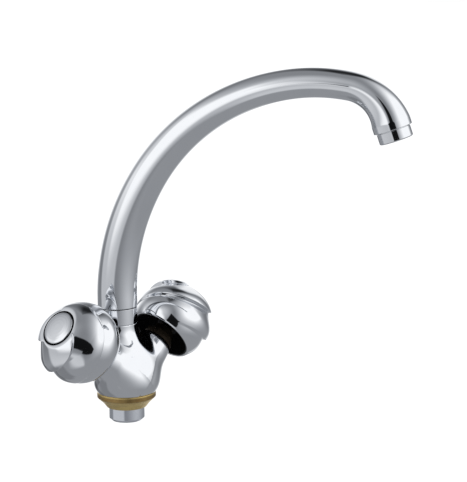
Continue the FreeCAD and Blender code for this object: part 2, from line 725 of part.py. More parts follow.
def make_headwork(side, hand):
    seal = ring(hand + "_seat_seal", "seat_seal_bore", "disc_radius", seat, fixed_at)
    node(tilt(seal, side), hand + "_seat_seal")

    lower = ring(hand + "_lower_disc", "0", "disc_radius", fixed_at,
                 fixed_at + " + fixed_disc_thickness")
    tilt(lower, side)
    lower_port = port(hand + "_lower_port", side, "port_inner", "port_outer",
                      fixed_at + " - overrun", "fixed_disc_thickness + 2 * overrun", 90)
    node(cut(hand + "_fixed_disc", lower, lower_port), hand + "_fixed_disc")

    washer = ring(hand + "_bonnet_washer", "arm_bore", "bonnet_flange_radius",
                  "arm_length", "arm_length + bonnet_washer_thickness")
    node(tilt(washer, side), hand + "_bonnet_washer")

    thread_at = "arm_length - bonnet_thread_length"
    blank = turned(hand + "_bonnet_blank", [
        (disc_bore, seat + " + seat_gap"),
        ("cage_radius", seat + " + seat_gap"),
        ("cage_radius", thread_at),
        ("arm_bore - seat_gap", thread_at),
        ("arm_bore - seat_gap", flange_at),
        ("bonnet_flange_radius", flange_at),
        ("bonnet_flange_radius", hexagon_at),
        ("bonnet_neck_radius", hexagon_at),
        ("bonnet_neck_radius", bonnet_top),
        (spindle_bore, bonnet_top),
        (spindle_bore, shoulder_at),
        (disc_bore, shoulder_at),
    ])
    tilt(blank, side)
    hexagon = document.addObject("Part::Prism", hand + "_hexagon")
    hexagon.Polygon = 6
    bind(hexagon, Circumradius="hexagon_flats / sqrt(3)", Height="hexagon_height")
    in_arm(hexagon, side, (0, 0, read(hexagon_at)))
    hollow = drill(hand + "_hexagon_hole", spindle_bore + " + overrun",
                   "hexagon_height + 2 * overrun")
    in_arm(hollow, side, (0, 0, read(hexagon_at + " - overrun")))
    window = block(hand + "_window", "2 * arm_bore", "cage_window",
                   "moving_disc_thickness - seat_gap")
    in_arm(window, side, (-read("arm_bore"), -read("cage_window") / 2, read(moving_at)))
    nut = cut(hand + "_hexagon_ring", hexagon, hollow)
    bonnet = join(hand + "_bonnet_joined", blank, nut)
    node(cut(hand + "_bonnet", bonnet, window), hand + "_bonnet")


def make_spindle(side, hand):
    upper = ring(hand + "_upper_disc", "0", "disc_radius", moving_at,
                 moving_at + " + moving_disc_thickness")
    tilt(upper, side)
    upper_port = port(hand + "_upper_port", side, "port_inner", "disc_radius + overrun",
                      moving_at + " - overrun", "moving_disc_thickness + 2 * overrun", -90)
    slot = block(hand + "_slot", "drive_width + 2 * seat_gap",
                 "drive_length + 2 * seat_gap", "drive_height + seat_gap + overrun")
    slot_corner = (-read("drive_width") / 2 - read("seat_gap"), -read("seat_gap"),
                   read(foot_at) - read("drive_height") - 2 * read("seat_gap"))
    in_arm(slot, side, slot_corner)
    node(cut(hand + "_moving_disc", upper, upper_port, slot), hand + "_moving_disc")

    foot_top = thrust_at + " - seat_gap"
    outline = [("0", foot_at), ("disc_radius", foot_at),
               ("disc_radius", foot_top), ("spindle_radius", foot_top)]
    low_ring = "arm_length - spindle_ring_depth"
    ring_heights = (low_ring, low_ring + " + spindle_ring_spacing")
    for centre in ring_heights:
        outline += groove("spindle_radius", centre, "spindle_groove", "spindle_wire")
    outline += groove("spindle_radius", clip_at + " + clip_thickness / 2",
                      "clip_groove", "clip_thickness / 2")
    outline += [("spindle_radius", "arm_length + square_start"),
                ("0", "arm_length + square_start")]
    stem = turned(hand + "_spindle_stem", outline)
    tilt(stem, side)
    tail = block(hand + "_square", "square_side", "square_side", "square_length + overrun")
    half = -read("square_side") / 2
    in_arm(tail, side, (half, half, read("arm_length + square_start - overrun")))
    lug = block(hand + "_lug", "drive_width", "drive_length", "drive_height + overrun")
    in_arm(lug, side, (-read("drive_width") / 2, 0, read(foot_at + " - drive_height")))
    tapped = drill(hand + "_tapped_hole", "screw_radius", "screw_depth + 2 * overrun")
    tapped_at = "arm_length + square_start + square_length - screw_depth - overrun"
    in_arm(tapped, side, (0, 0, read(tapped_at)))
    spindle = join(hand + "_spindle_joined", stem, tail, lug)
    node(cut(hand + "_spindle", spindle, tapped), hand + "_spindle")

    thrust = ring(hand + "_thrust_washer", spindle_bore, "disc_radius - seat_gap",
                  thrust_at, thrust_at + " + thrust_washer_thickness")
    node(tilt(thrust, side), hand + "_thrust_washer")

    loops = []
    for number, centre in enumerate(ring_heights, start=1):
        loop = torus("%s_spindle_ring_%d" % (hand, number),
                     "spindle_groove + spindle_wire + seat_gap / 4", "spindle_wire")
        in_arm(loop, side, (0, 0, read(centre)))
        loops.append(loop)
    node(group(hand + "_spindle_o_rings", *loops), hand + "_spindle_o_rings")

    snap = drill(hand + "_snap", "clip_radius", "clip_thickness")
    bind(snap, Angle="360 - clip_opening")
    in_arm(snap, side, (0, 0, read(clip_at)))
    centre_hole = drill(hand + "_snap_hole", "clip_groove + seat_gap",
                        "clip_thickness + 2 * overrun")
    in_arm(centre_hole, side, (0, 0, read(clip_at + " - overrun")))
    node(cut(hand + "_spindle_clip", snap, centre_hole), hand + "_spindle_clip")


for side, hand in ((-1, "hot"), (1, "cold")):
    make_headwork(side, hand)
    make_spindle(side, hand)

# Knobs

# The ball is two half ellipsoids. Three lobes wind around it like the folds of a turban:
# beside each crisp edge the surface drops into a hollow and climbs back to the next edge.

KNOB_STATIONS = 15
KNOB_POINTS = 48
CAVITY_SHARES = (0.15, 0.3, 0.45, 0.6, 0.72)
CROWN_SHARES = (0.95, 0.8, 0.6, 0.35)


def ball_radius(height):
    """Each half ellipsoid ends at the rim or around the cap with the radius named there."""
    middle = read("knob_middle")
    if height < middle:
        share = (middle - height) / middle
        end = read("rim_radius")
    else:
        share = (height - middle) / (read("knob_length") - middle)
        end = read("front_radius")
    widest = read("knob_radius")
    return math.sqrt(widest ** 2 - (widest ** 2 - end ** 2) * share ** 2)


def swirl_hollow(share):
    """Depth of the hollow, 0 to 1, at a share of the way from one edge to the next."""
    edge = read("swirl_edge")
    if share < edge:
        return (1 - math.cos(math.pi * share / edge)) / 2
    climb = (1 + math.cos(math.pi * (share - edge) / (1 - edge))) / 2
    return climb ** read("swirl_ease")


def swirl_fade(height):
    """The hollows fade out at the rim, and are shallower beside the cap."""
    share = height / read("knob_length")
    rear = math.sin(math.pi / 2 * min(1, share / read("swirl_grow")))
    shrink = read("swirl_shrink")
    front = 1 - read("swirl_loss") * max(0, share - shrink) / (1 - shrink)
    return rear * rear * front


def knob_poles(step):
    """A row of poles from the rim to the front, which follows the winding of the lobes."""
    share = (step * read("swirl_count")) % 1
    row = []
    for number in range(KNOB_STATIONS + 1):
        height = read("knob_length") * number / KNOB_STATIONS
        hollow = read("swirl_depth") * swirl_fade(height) * swirl_hollow(share)
        radius = ball_radius(height) - hollow
        turn = read("swirl_rate") * (height - read("knob_length"))
        angle = math.radians(360 * step + turn)
        row.append(Vector(radius * math.cos(angle), radius * math.sin(angle), height))
    return row


def knob_solid():
    """The closed ball of the knob, as a cubic surface between two flat ends."""
    poles = [knob_poles(number / KNOB_POINTS) for number in range(KNOB_POINTS)]
    around_knots = list(range(KNOB_POINTS + 1))
    along_knots = list(range(KNOB_STATIONS - 1))
    along_mults = [4] + [1] * (KNOB_STATIONS - 3) + [4]
    surface = Part.BSplineSurface()
    surface.buildFromPolesMultsKnots(poles, [1] * len(around_knots), along_mults,
                                     around_knots, along_knots, True, False, 3, 3)
    side = surface.toShape()
    ends = [edge for edge in side.Edges if edge.isClosed()]
    shell = Part.makeShell([side] + [Part.Face(Part.Wire([edge])) for edge in ends])
    shell.sewShape()
    return Part.Solid(shell)


knob_ball = knob_solid()

rim_at = "(arm_length + knob_gap)"
hub_at = rim_at + " + hub_start"
bush_end = "(arm_length + square_start + square_length + 2 * seat_gap)"
head_at = bush_end + " + web_thickness"
front_at = rim_at + " + knob_length"
recess_at = front_at + " - cap_recess"
cavity_end = front_at + " - cap_recess - web_thickness"


def cavity_radius(share):
    """Inside of the knob's wall at a share of its length, behind the hollows."""
    height = share * read("knob_length")
    return ball_radius(height) - read("swirl_depth") * swirl_fade(height) - read("knob_wall")


def make_knob(side, hand, phase):
    ball = document.addObject("Part::Feature", hand + "_ball")
    ball.Shape = knob_ball
    spin = Placement(Vector(0, 0, read(rim_at)), Rotation(Vector(0, 0, 1), phase))
    ball.Placement = arm_frame(side) * spin

    cavity_outline = [("0", rim_at), ("rim_radius - knob_wall", rim_at)]
    for share in CAVITY_SHARES:
        wall = "%.3f" % cavity_radius(share)
        cavity_outline.append((wall, rim_at + " + %.2f * knob_length" % share))
    cavity_outline += [("hub_radius + hub_flare", cavity_end), ("hub_radius", cavity_end),
                       ("hub_radius", hub_at), ("0", hub_at)]
    cavity = turned(hand + "_cavity", cavity_outline)
    tilt(cavity, side)
    bores = turned(hand + "_knob_bores", [
        ("0", hub_at + " - overrun"),
        ("insert_radius + seat_gap", hub_at + " - overrun"),
        ("insert_radius + seat_gap", bush_end),
        ("screw_radius + 2 * seat_gap", bush_end),
        ("screw_radius + 2 * seat_gap", head_at),
        ("counterbore", head_at),
        ("counterbore", recess_at),
        ("cap_radius + cap_groove", recess_at),
        ("cap_radius + cap_groove", front_at + " + overrun"),
        ("0", front_at + " + overrun"),
    ])
    tilt(bores, side)
    node(cut(hand + "_knob", ball, cavity, bores), hand + "_knob")

    bush = ring(hand + "_bush", "0", "insert_radius", hub_at + " + seat_gap",
                "arm_length + square_start + square_length")
    tilt(bush, side)
    square = block(hand + "_bush_square", "square_side + 2 * seat_gap",
                   "square_side + 2 * seat_gap", "square_length + 2 * overrun")
    half = -read("square_side / 2 + seat_gap")
    in_arm(square, side, (half, half, read("arm_length + square_start - overrun")))
    node(cut(hand + "_knob_insert", bush, square), hand + "_knob_insert")

    screw = turned(hand + "_screw_blank", [
        ("0", bush_end + " - screw_depth"),
        ("screw_radius - seat_gap", bush_end + " - screw_depth"),
        ("screw_radius - seat_gap", head_at + " + seat_gap"),
        ("screw_head_radius", head_at + " + seat_gap"),
        ("screw_head_radius", head_at + " + screw_head_height"),
        ("0", head_at + " + screw_head_height"),
    ])
    tilt(screw, side)
    key = document.addObject("Part::Prism", hand + "_key_hole")
    key.Polygon = 6
    bind(key, Circumradius="screw_key", Height="screw_head_height")
    in_arm(key, side, (0, 0, read(head_at + " + screw_head_height / 2")))
    node(cut(hand + "_knob_screw", screw, key), hand + "_knob_screw")

    crown = front_at + " + cap_rim"
    cap_outline = [
        ("0", recess_at + " - cap_spigot"),
        ("counterbore - seat_gap", recess_at + " - cap_spigot"),
        ("counterbore - seat_gap", recess_at + " + seat_gap"),
        ("cap_radius - cap_chamfer", recess_at + " + seat_gap"),
        ("cap_radius", recess_at + " + seat_gap + cap_chamfer"),
        ("cap_radius", crown),
    ]
    for share in CROWN_SHARES:
        rise = "%.3f * cap_dome" % math.sqrt(1 - share ** 2)
        cap_outline.append(("%.2f * cap_radius" % share, crown + " + " + rise))
    cap_outline.append(("0", crown + " + cap_dome"))
    node(tilt(turned(hand + "_knob_cap", cap_outline), side), hand + "_knob_cap")


make_knob(-1, "hot", read("swirl_phase"))
make_knob(1, "cold", read("swirl_phase + cold_phase"))

# Check and write

document.recompute()
for item in document.Objects:
    if "Invalid" in item.State or "Error" in item.State:
        raise RuntimeError("%s failed: %s" % (item.Name, item.State))
os.makedirs("parts", exist_ok=True)
for piece in nodes:
    shape = piece.Shape
    if shape.isNull() or not shape.isValid() or not shape.Solids:
        raise RuntimeError("%s has no valid shape" % piece.Label)
for piece in nodes:
    piece.Shape.exportStep("parts/%s.step" % piece.Label)
    print("%-22s %d solids %10.1f mm3" % (piece.Label, len(piece.Shape.Solids),
                                          piece.Shape.Volume))
print("%d nodes" % len(nodes))
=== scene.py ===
import math

import bpy
import numpy as np
from mathutils import Matrix, Vector


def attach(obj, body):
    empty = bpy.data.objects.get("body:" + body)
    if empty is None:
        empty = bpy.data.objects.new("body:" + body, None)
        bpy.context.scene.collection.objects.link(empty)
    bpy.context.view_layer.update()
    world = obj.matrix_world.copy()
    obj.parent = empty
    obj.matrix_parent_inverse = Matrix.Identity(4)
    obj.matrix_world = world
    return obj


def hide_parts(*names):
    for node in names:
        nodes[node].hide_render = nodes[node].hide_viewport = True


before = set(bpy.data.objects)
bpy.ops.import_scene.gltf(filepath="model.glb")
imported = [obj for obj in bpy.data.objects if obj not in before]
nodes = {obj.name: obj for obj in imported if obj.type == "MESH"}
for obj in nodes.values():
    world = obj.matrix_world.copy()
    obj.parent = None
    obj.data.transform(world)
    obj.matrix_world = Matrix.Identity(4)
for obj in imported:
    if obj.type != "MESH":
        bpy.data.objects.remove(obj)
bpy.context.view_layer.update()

# Mounting shank
#
# A brass bar turned on a lathe and nickel-plated, screwed into the body from below. Its
# plain lower end is chamfered and takes the two hose tails side by side.

MM = 0.001
ARC_STEPS = 5
PLAIN_EDGE = 0.1


def rounded(corners):
    """Points and normals, as (radius, height), of an outline of (radius, height, rounding).

    A corner without a rounding is a plain edge. An outline that starts and ends on the axis
    stays open there; any other is closed.
    """
    corners = [np.array((*corner, PLAIN_EDGE)[:3], float) for corner in corners]
    closed = corners[0][0] > 0
    loop = [corner[:2] for corner in corners]
    area = sum(a[0] * b[1] - a[1] * b[0] for a, b in zip(loop, loop[1:] + loop[:1]))
    turn = 1 if area > 0 else -1
    points = []
    normals = []
    for index, corner in enumerate(corners):
        here = corner[:2]
        if not closed and index in (0, len(corners) - 1):
            inner = loop[1] if index == 0 else loop[-2]
            along = (inner - here) * (1 if index == 0 else -1)
            along /= np.linalg.norm(along)
            points.append(here)
            normals.append(np.array((along[1], -along[0])) * turn)
            continue
        before = loop[index - 1] - here
        after = loop[(index + 1) % len(loop)] - here
        room = min(np.linalg.norm(before), np.linalg.norm(after)) / 2
        before /= np.linalg.norm(before)
        after /= np.linalg.norm(after)
        half = math.acos(np.clip(before @ after, -1, 1)) / 2
        middle = before + after
        if np.linalg.norm(middle) < 1e-6:
            continue
        middle /= np.linalg.norm(middle)
        radius = min(corner[2], room * math.tan(half))
        centre = here + middle * radius / math.sin(half)
        outward = np.array((after[1], -after[0])) * turn
        outward -= np.array((before[1], -before[0])) * turn
        bulge = -1 if outward @ middle > 0 else 1
        start = here + before * radius / math.tan(half) - centre
        finish = here + after * radius / math.tan(half) - centre
        for step in range(ARC_STEPS + 1):
            share = step / ARC_STEPS
            spoke = start * (1 - share) + finish * share
            spoke *= radius / np.linalg.norm(spoke)
            points.append(centre + spoke)
            normals.append(spoke / radius * bulge)
    return np.array(points), np.array(normals), closed


def grid_faces(rows, columns, closed):
    """Quads of a grid of points whose columns, and if closed its rows too, run round."""
    row = np.arange(rows if closed else rows - 1)[:, None]
    column = np.arange(columns)[None, :]
    below = row * columns
    above = (row + 1) % rows * columns
    after = (column + 1) % columns
    quads = np.stack([below + column, below + after, above + after, above + column], -1)
    return quads.reshape(-1, 4).tolist()


def new_piece(name, points, faces, normals=None):
    """An object from points in millimetres, whose faces point the way its normals do."""
    mesh = bpy.data.meshes.new(name)
    mesh.from_pydata((np.asarray(points) * MM).tolist(), [], faces)
    mesh.update()
    mesh.shade_smooth()
    if normals is not None:
        normals = np.asarray(normals, float)
        facing = sum(face.normal @ Vector(normals[face.vertices[0]])
                     for face in list(mesh.polygons)[:: max(1, len(faces) // 400)])
        if facing < 0:
            mesh.flip_normals()
        mesh.normals_split_custom_set_from_vertices(normals.tolist())
    item = bpy.data.objects.new(name, mesh)
    bpy.context.scene.collection.objects.link(item)
    return item


def turned(name, corners, place=Matrix(), around=128):
    """A lathe-turned piece: the rounded outline swept about its own Z axis, then placed."""
    outline, slopes, closed = rounded(corners)
    inner = slice(None) if closed else slice(1, -1)
    angles = np.linspace(0, 2 * math.pi, around, endpoint=False)
    spokes = np.stack([np.cos(angles), np.sin(angles), np.zeros(around)], 1)
    upright = np.array((0.0, 0.0, 1.0))
    rows = outline[inner]
    points = rows[:, 0, None, None] * spokes + rows[:, 1, None, None] * upright
    normals = slopes[inner][:, 0, None, None] * spokes
    normals = normals + slopes[inner][:, 1, None, None] * upright
    faces = grid_faces(len(rows), around, closed)
    points = points.reshape(-1, 3)
    normals = normals.reshape(-1, 3)
    if not closed:
        low, high = len(points), len(points) + 1
        last = (len(rows) - 1) * around
        ring = range(around)
        faces += [(low, (k + 1) % around, k) for k in ring]
        faces += [(high, last + k, last + (k + 1) % around) for k in ring]
        points = np.vstack([points, outline[[0, -1], 1][:, None] * upright])
        normals = np.vstack([normals, slopes[[0, -1], 1][:, None] * upright])
    turn = np.array(place.to_3x3())
    points = points @ turn.T + np.array(place.translation)
    return new_piece(name, points, faces, normals @ turn.T)


class Value:
    """A shader socket that can stand in a sum: each operator adds a Math node."""

    def __init__(self, finish, socket):
        self.finish = finish
        self.socket = socket

    def math(self, operation, *terms):
        return self.finish.node("ShaderNodeMath", {"operation": operation}, *terms)

    def __add__(self, other):
        return self.math("ADD", self, other)

    def __sub__(self, other):
        return self.math("SUBTRACT", self, other)

    def __rsub__(self, other):
        return self.math("SUBTRACT", other, self)

    def __mul__(self, other):
        return self.math("MULTIPLY", self, other)

    __radd__ = __add__
    __rmul__ = __mul__


class Finish:
    """The shader of one finish: a Principled surface and the nodes that feed it."""

    def __init__(self, owner, surface="ShaderNodeBsdfPrincipled"):
        self.owner = owner
        owner.use_nodes = True
        self.tree = owner.node_tree
        self.tree.nodes.clear()
        kind = "ShaderNodeOutputWorld" if isinstance(owner, bpy.types.World) \
            else "ShaderNodeOutputMaterial"
        self.output = self.tree.nodes.new(kind)
        self.surface = self.tree.nodes.new(surface)
        self.tree.links.new(self.surface.outputs[0], self.output.inputs["Surface"])

    def feed(self, socket, value):
        if isinstance(value, Value):
            self.tree.links.new(value.socket, socket)
        else:
            socket.default_value = value

    def node(self, kind, settings, *inputs, give=0, **named):
        """Any node: its settings first, then its sockets in order or by name."""
        made = self.tree.nodes.new(kind)
        for key, value in settings.items():
            setattr(made, key, value)
        for index, value in enumerate(inputs):
            self.feed(made.inputs[index], value)
        for key, value in named.items():
            self.feed(made.inputs[key.replace("_", " ")], value)
        return Value(self, made.outputs[give])

    def where(self):
        """Object coordinates, in metres."""
        return self.node("ShaderNodeTexCoord", {}, give="Object")

    def noise(self, scale, detail):
        """Cloudy noise, with so many clouds to a metre and so many finer layers."""
        return self.node("ShaderNodeTexNoise", {}, Vector=self.where(), Scale=scale,
                         Detail=detail)

    def bump(self, height, depth):
        """The normals of a relief whose depth is in metres."""
        return self.node("ShaderNodeBump", {}, Height=height, Distance=depth)

    def mixed(self, dark, light, share):
        """A colour between two, by a share that varies over the surface."""
        made = self.node("ShaderNodeMix", {"data_type": "RGBA"}, share, give=2)
        colours = made.socket.node.inputs[6:8]
        for socket, colour in zip(colours, (dark, light)):
            socket.default_value = (*colour, 1)
        return made

    def surface_set(self, **values):
        for key, value in values.items():
            self.feed(self.surface.inputs[key.replace("_", " ")], value)


def metal(name, dark, light, rough, haze, wave=0.00001):
    """A plated or bare metal: its colour and gloss vary a little with wiping and wear."""
    finish = Finish(bpy.data.materials.new(name))
    cloud = finish.noise(70, 4)
    fine = finish.noise(600, 2)
    finish.surface_set(
        Metallic=1.0,
        Base_Color=finish.mixed(dark, light, cloud),
        Roughness=rough + haze * cloud * fine,
        Normal=finish.bump(finish.noise(45, 1) + 0.02 * fine, wave),
    )
    return finish.owner


def dress(finish, *names):
    """Give CAD pieces a better finish."""
    for name in names:
        for slot in nodes[name].material_slots:
            slot.material = finish


def stand_for(item, finish, slot, body, *names):
    """A piece that takes the place of CAD nodes and moves with their body."""
    item.data.materials.clear()
    item.data.materials.append(finish)
    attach(item, body)
    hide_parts(*names)


SHANK_RADIUS = 12.8
SHANK_BOTTOM = -21.0
SHANK_CHAMFER = 1.8
THREAD_RADIUS = 12.6
THREAD_FOOT = -11.3
SPIGOT_RADIUS = 11.0
SPIGOT_HEIGHT = 8.0
HOSE_SPACING = 10.8
HOSE_RADIUS = 4.5
HOSE_MOUTH = 4.9
HOSE_DEPTH = 12.0
FEED_RADIUS = 3.2
OVERRUN = 1.0

nickel = metal("nickel plate", (0.70, 0.73, 0.79), (0.78, 0.80, 0.84), 0.10, 0.10)
shank = turned("turned-shank", [
    (0, SHANK_BOTTOM),
    (SHANK_RADIUS - SHANK_CHAMFER, SHANK_BOTTOM, 0.25),
    (SHANK_RADIUS, SHANK_BOTTOM + SHANK_CHAMFER, 0.4),
    (SHANK_RADIUS, THREAD_FOOT),
    (THREAD_RADIUS, THREAD_FOOT, 0.05),
    (THREAD_RADIUS, 0, 0.05),
    (SPIGOT_RADIUS, 0),
    (SPIGOT_RADIUS, SPIGOT_HEIGHT, 0.3),
    (0, SPIGOT_HEIGHT),
])
hose_hole = [
    (0, -OVERRUN),
    (HOSE_MOUTH, -OVERRUN),
    (HOSE_MOUTH, 0.1, 0.05),
    (HOSE_RADIUS, 0.6, 0.05),
    (HOSE_RADIUS, HOSE_DEPTH),
    (FEED_RADIUS, HOSE_DEPTH),
    (FEED_RADIUS, SPIGOT_HEIGHT - SHANK_BOTTOM + OVERRUN),
    (0, SPIGOT_HEIGHT - SHANK_BOTTOM + OVERRUN),
]
cutters = [turned("hose hole", hose_hole,
                  Matrix.Translation((0, side * HOSE_SPACING / 2, SHANK_BOTTOM)), around=48)
           for side in (-1, 1)]


def carve(item, cutters):
    """Take the cutters out of a piece, and crease the edges that this leaves."""
    for cutter in cutters:
        hole = item.modifiers.new("hole", "BOOLEAN")
        hole.operation = "DIFFERENCE"
        hole.solver = "MANIFOLD"
        hole.object = cutter
    graph = bpy.context.evaluated_depsgraph_get()
    mesh = bpy.data.meshes.new_from_object(item.evaluated_get(graph), depsgraph=graph)
    item.modifiers.clear()
    item.data = mesh
    mesh.shade_smooth()
    mesh.set_sharp_from_angle(angle=math.radians(28))
    for cutter in cutters:
        bpy.data.objects.remove(cutter)


carve(shank, cutters)
stand_for(shank, nickel, "nickel", "tap_body", "mounting_shank")

fibre_finish = Finish(bpy.data.materials.new("pressed fibre"))
flecks = fibre_finish.noise(900, 5)
fibre_finish.surface_set(
    Base_Color=fibre_finish.mixed((0.30, 0.09, 0.05), (0.55, 0.22, 0.15), flecks),
    Roughness=0.7 + 0.2 * flecks,
    Normal=fibre_finish.bump(flecks, 0.00005),
)
fibre = fibre_finish.owner
dress(fibre, "shank_gasket")

# Base seal and clamp nut
#
# A rubber ring in the groove under the body keeps water off the deck. The flanged nut is
# turned from brass and yellow passivated, with the fine rings that the tool left. The side of
# its flange is painted dark as shade, and its top edge carries a painted highlight.

rubber_finish = Finish(bpy.data.materials.new("black rubber"))
bloom = rubber_finish.noise(300, 4)
rubber_finish.surface_set(
    Base_Color=rubber_finish.mixed((0.012, 0.012, 0.013), (0.035, 0.035, 0.036), bloom),
    Roughness=0.55 + 0.25 * bloom,
    Normal=rubber_finish.bump(rubber_finish.noise(1500, 2), 0.00002),
)
rubber = rubber_finish.owner
dress(rubber, "base_seal")

CLAMP_FOOT = -11.0
CLAMP_BORE = 12.85
CLAMP_FOOT_RADIUS = 14.4
CLAMP_STEP_RADIUS = 17.0
CLAMP_STEP = -7.6
FLANGE_RADIUS = 21.2
FLANGE_FOOT = -3.6
TOOL_RINGS = 42000.0  # radians of ripple to a metre of height
SHADE_BAND_FOOT = (-0.0034, -0.0046)  # heights where the painted shade on the flange's side gives way to the plain cone
RIM_HIGHLIGHT_BAND = (-0.0013, -0.0005)  # heights where the painted highlight on the flange's top edge begins

passivated = Finish(bpy.data.materials.new("yellow passivated brass"))
height = passivated.node("ShaderNodeSeparateXYZ", {}, passivated.where(), give="Z")
rings = height.math("SINE", height * TOOL_RINGS)
patina = passivated.noise(160, 5)
# Painted shade and highlight: between the two bands the flange keeps the dark colour, and its
# top edge turns light.
below = passivated.node("ShaderNodeMapRange", {}, height, *SHADE_BAND_FOOT, 0.0, 1.0)
above = passivated.node("ShaderNodeMapRange", {}, height, *RIM_HIGHLIGHT_BAND, 0.0, 0.9)
passivated.surface_set(
    Metallic=1.0,
    Base_Color=passivated.mixed((0.22, 0.13, 0.05), (0.80, 0.62, 0.26),
                                0.35 * patina + 0.65 * (below + above)),
    Roughness=0.20 + 0.22 * patina + 0.03 * rings,
    Normal=passivated.bump(rings + passivated.noise(2500, 2), 0.000006),
)
clamp_nut = turned("flanged-nut", [
    (CLAMP_BORE, CLAMP_FOOT, 0.3),
    (CLAMP_FOOT_RADIUS, CLAMP_FOOT, 0.35),
    (CLAMP_STEP_RADIUS, CLAMP_STEP, 0.5),
    (FLANGE_RADIUS, FLANGE_FOOT, 0.35),
    (FLANGE_RADIUS, 0, 0.4),
    (CLAMP_BORE, 0, 0.2),
])
stand_for(clamp_nut, passivated.owner, "yellow_brass", "tap_body", "clamp_nut")

# Mixer body
#
# One brass casting, machined, polished and chromed. The column leans back to the spout
# axis and the two arms grow out of it in a V, with every junction polished to a soft curve.

ARM_RISE = math.radians(36.6)
ARM_LENGTH = 36.5
APEX = (2.0, 0.0, 9.5)
NECK_HEIGHT = 49.6
SPOUT_SETBACK = 7.3
COLUMN = np.array((  # height, radius, setback
    (0, 20.9, 0),
    (2.6, 22.4, 0),
    (9, 23.8, 0),
    (23, 21.8, 0.25 * SPOUT_SETBACK),
    (34, 18, 0.65 * SPOUT_SETBACK),
    (43.5, 14.7, 0.95 * SPOUT_SETBACK),
    (NECK_HEIGHT, 14.2, SPOUT_SETBACK),
))
ARM_ROOT = (5.0, 17.5)
ARM_END = (ARM_LENGTH, 12.2)
FILLET = 7.0
EDGE_ROUND = 0.8
CELL = 0.5
CASTING_BOX = ((-26, -44, -1.5), (27, 44, 51))
SETTLING_TURNS = 5
EVENING_TURNS = 4


def natural_spline(knots, values):
    """A smooth curve through the values, straight at both ends, as a function."""
    gaps = np.diff(knots)
    count = len(knots)
    system = np.eye(count)
    right = np.zeros(count)
    for k in range(1, count - 1):
        system[k, k - 1:k + 2] = gaps[k - 1], 2 * (gaps[k - 1] + gaps[k]), gaps[k]
        steps = (values[k + 1] - values[k]) / gaps[k], (values[k] - values[k - 1]) / gaps[k - 1]
        right[k] = 6 * (steps[0] - steps[1])
    bend = np.linalg.solve(system, right)

    def curve(at):
        at = np.clip(at, knots[0], knots[-1])
        k = np.clip(np.searchsorted(knots, at) - 1, 0, count - 2)
        gap = gaps[k]
        low, high = knots[k + 1] - at, at - knots[k]
        cubic = (bend[k] * low ** 3 + bend[k + 1] * high ** 3) / (6 * gap)
        line = (values[k] / gap - bend[k] * gap / 6) * low
        line += (values[k + 1] / gap - bend[k + 1] * gap / 6) * high
        return cubic + line

    return curve


column_radius = natural_spline(COLUMN[:, 0], COLUMN[:, 1])
column_setback = natural_spline(COLUMN[:, 0], COLUMN[:, 2])


def soft_least(a, b, reach):
    """The smaller of two values, rounded off where they are nearly alike."""
    overlap = np.maximum(reach - abs(a - b), 0) / reach
    return np.minimum(a, b) - overlap ** 2 * reach / 4


def body_depth(p):
    """How far points are outside the casting, in millimetres: less than 0 is inside."""
    x, y, z = p[:, 0], p[:, 1], p[:, 2]
    column = np.hypot(x + column_setback(z), y) - column_radius(z)
    column = -soft_least(-column, NECK_HEIGHT - z, EDGE_ROUND)
    taper = (ARM_ROOT[1] - ARM_END[1]) / (ARM_END[0] - ARM_ROOT[0])
    casting = column
    for side in (-1, 1):
        axis = np.array((0, side * math.cos(ARM_RISE), math.sin(ARM_RISE)))
        offset = p - np.array(APEX)
        along = offset @ axis
        across = np.linalg.norm(offset - along[:, None] * axis, axis=1)
        arm = (across - ARM_ROOT[1] + taper * (along - ARM_ROOT[0])) * math.cos(taper)
        arm = np.maximum(arm, ARM_ROOT[0] - along)
        arm = -soft_least(-arm, ARM_LENGTH - along, EDGE_ROUND)
        casting = soft_least(casting, arm, FILLET)
    return -soft_least(-casting, z, EDGE_ROUND)


def depth_slope(p):
    """The slope of body_depth, which points straight out of the surface."""
    step = 0.01
    slope = np.empty_like(p)
    for axis in range(3):
        shift = np.zeros(3)
        shift[axis] = step
        slope[:, axis] = (body_depth(p + shift) - body_depth(p - shift)) / (2 * step)
    return slope


def settle(p):
    """Move points on to the surface of the casting."""
    for turn in range(SETTLING_TURNS):
        slope = depth_slope(p)
        size = np.maximum((slope ** 2).sum(1), 0.05)
        p = p - slope * (body_depth(p) / size)[:, None]
    return p


def casting_mesh(low, high):
    """Points and quads of the casting: one point in each grid cell that it passes through."""
    axes = [np.arange(a, b + CELL, CELL) for a, b in zip(low, high)]
    grid = np.stack(np.meshgrid(*axes, indexing="ij"), -1)
    inside = (body_depth(grid.reshape(-1, 3)) < 0).reshape(grid.shape[:3])
    shape = np.array(inside.shape)
    quads = []
    for axis in range(3):
        others = [k for k in range(3) if k != axis]
        crossed = np.argwhere(np.diff(inside.astype(int), axis=axis) != 0)
        corners = []
        for a, b in ((0, 0), (1, 0), (1, 1), (0, 1)):
            cell = crossed.copy()
            cell[:, others[0]] -= a
            cell[:, others[1]] -= b
            corners.append(cell)
        going_in = ~inside[tuple(crossed.T)]
        flip = going_in ^ (axis == 1)
        cells = np.stack(corners, 1)
        cells[flip] = cells[flip][:, ::-1]
        quads.append(cells)
    quads = np.concatenate(quads)
    keys = np.ravel_multi_index(tuple(quads.reshape(-1, 3).T), shape)
    used, faces = np.unique(keys, return_inverse=True)
    cells = np.stack(np.unravel_index(used, shape), 1)
    points = np.array(low) + (cells + 0.5) * CELL
    return points, faces.reshape(-1, 4)


def relax(points, faces):
    """Even out the spacing of the points along the surface."""
    centres = points[faces].mean(1)
    total = np.zeros_like(points)
    count = np.zeros(len(points))
    for corner in range(4):
        np.add.at(total, faces[:, corner], centres)
        np.add.at(count, faces[:, corner], 1)
    return total / count[:, None]


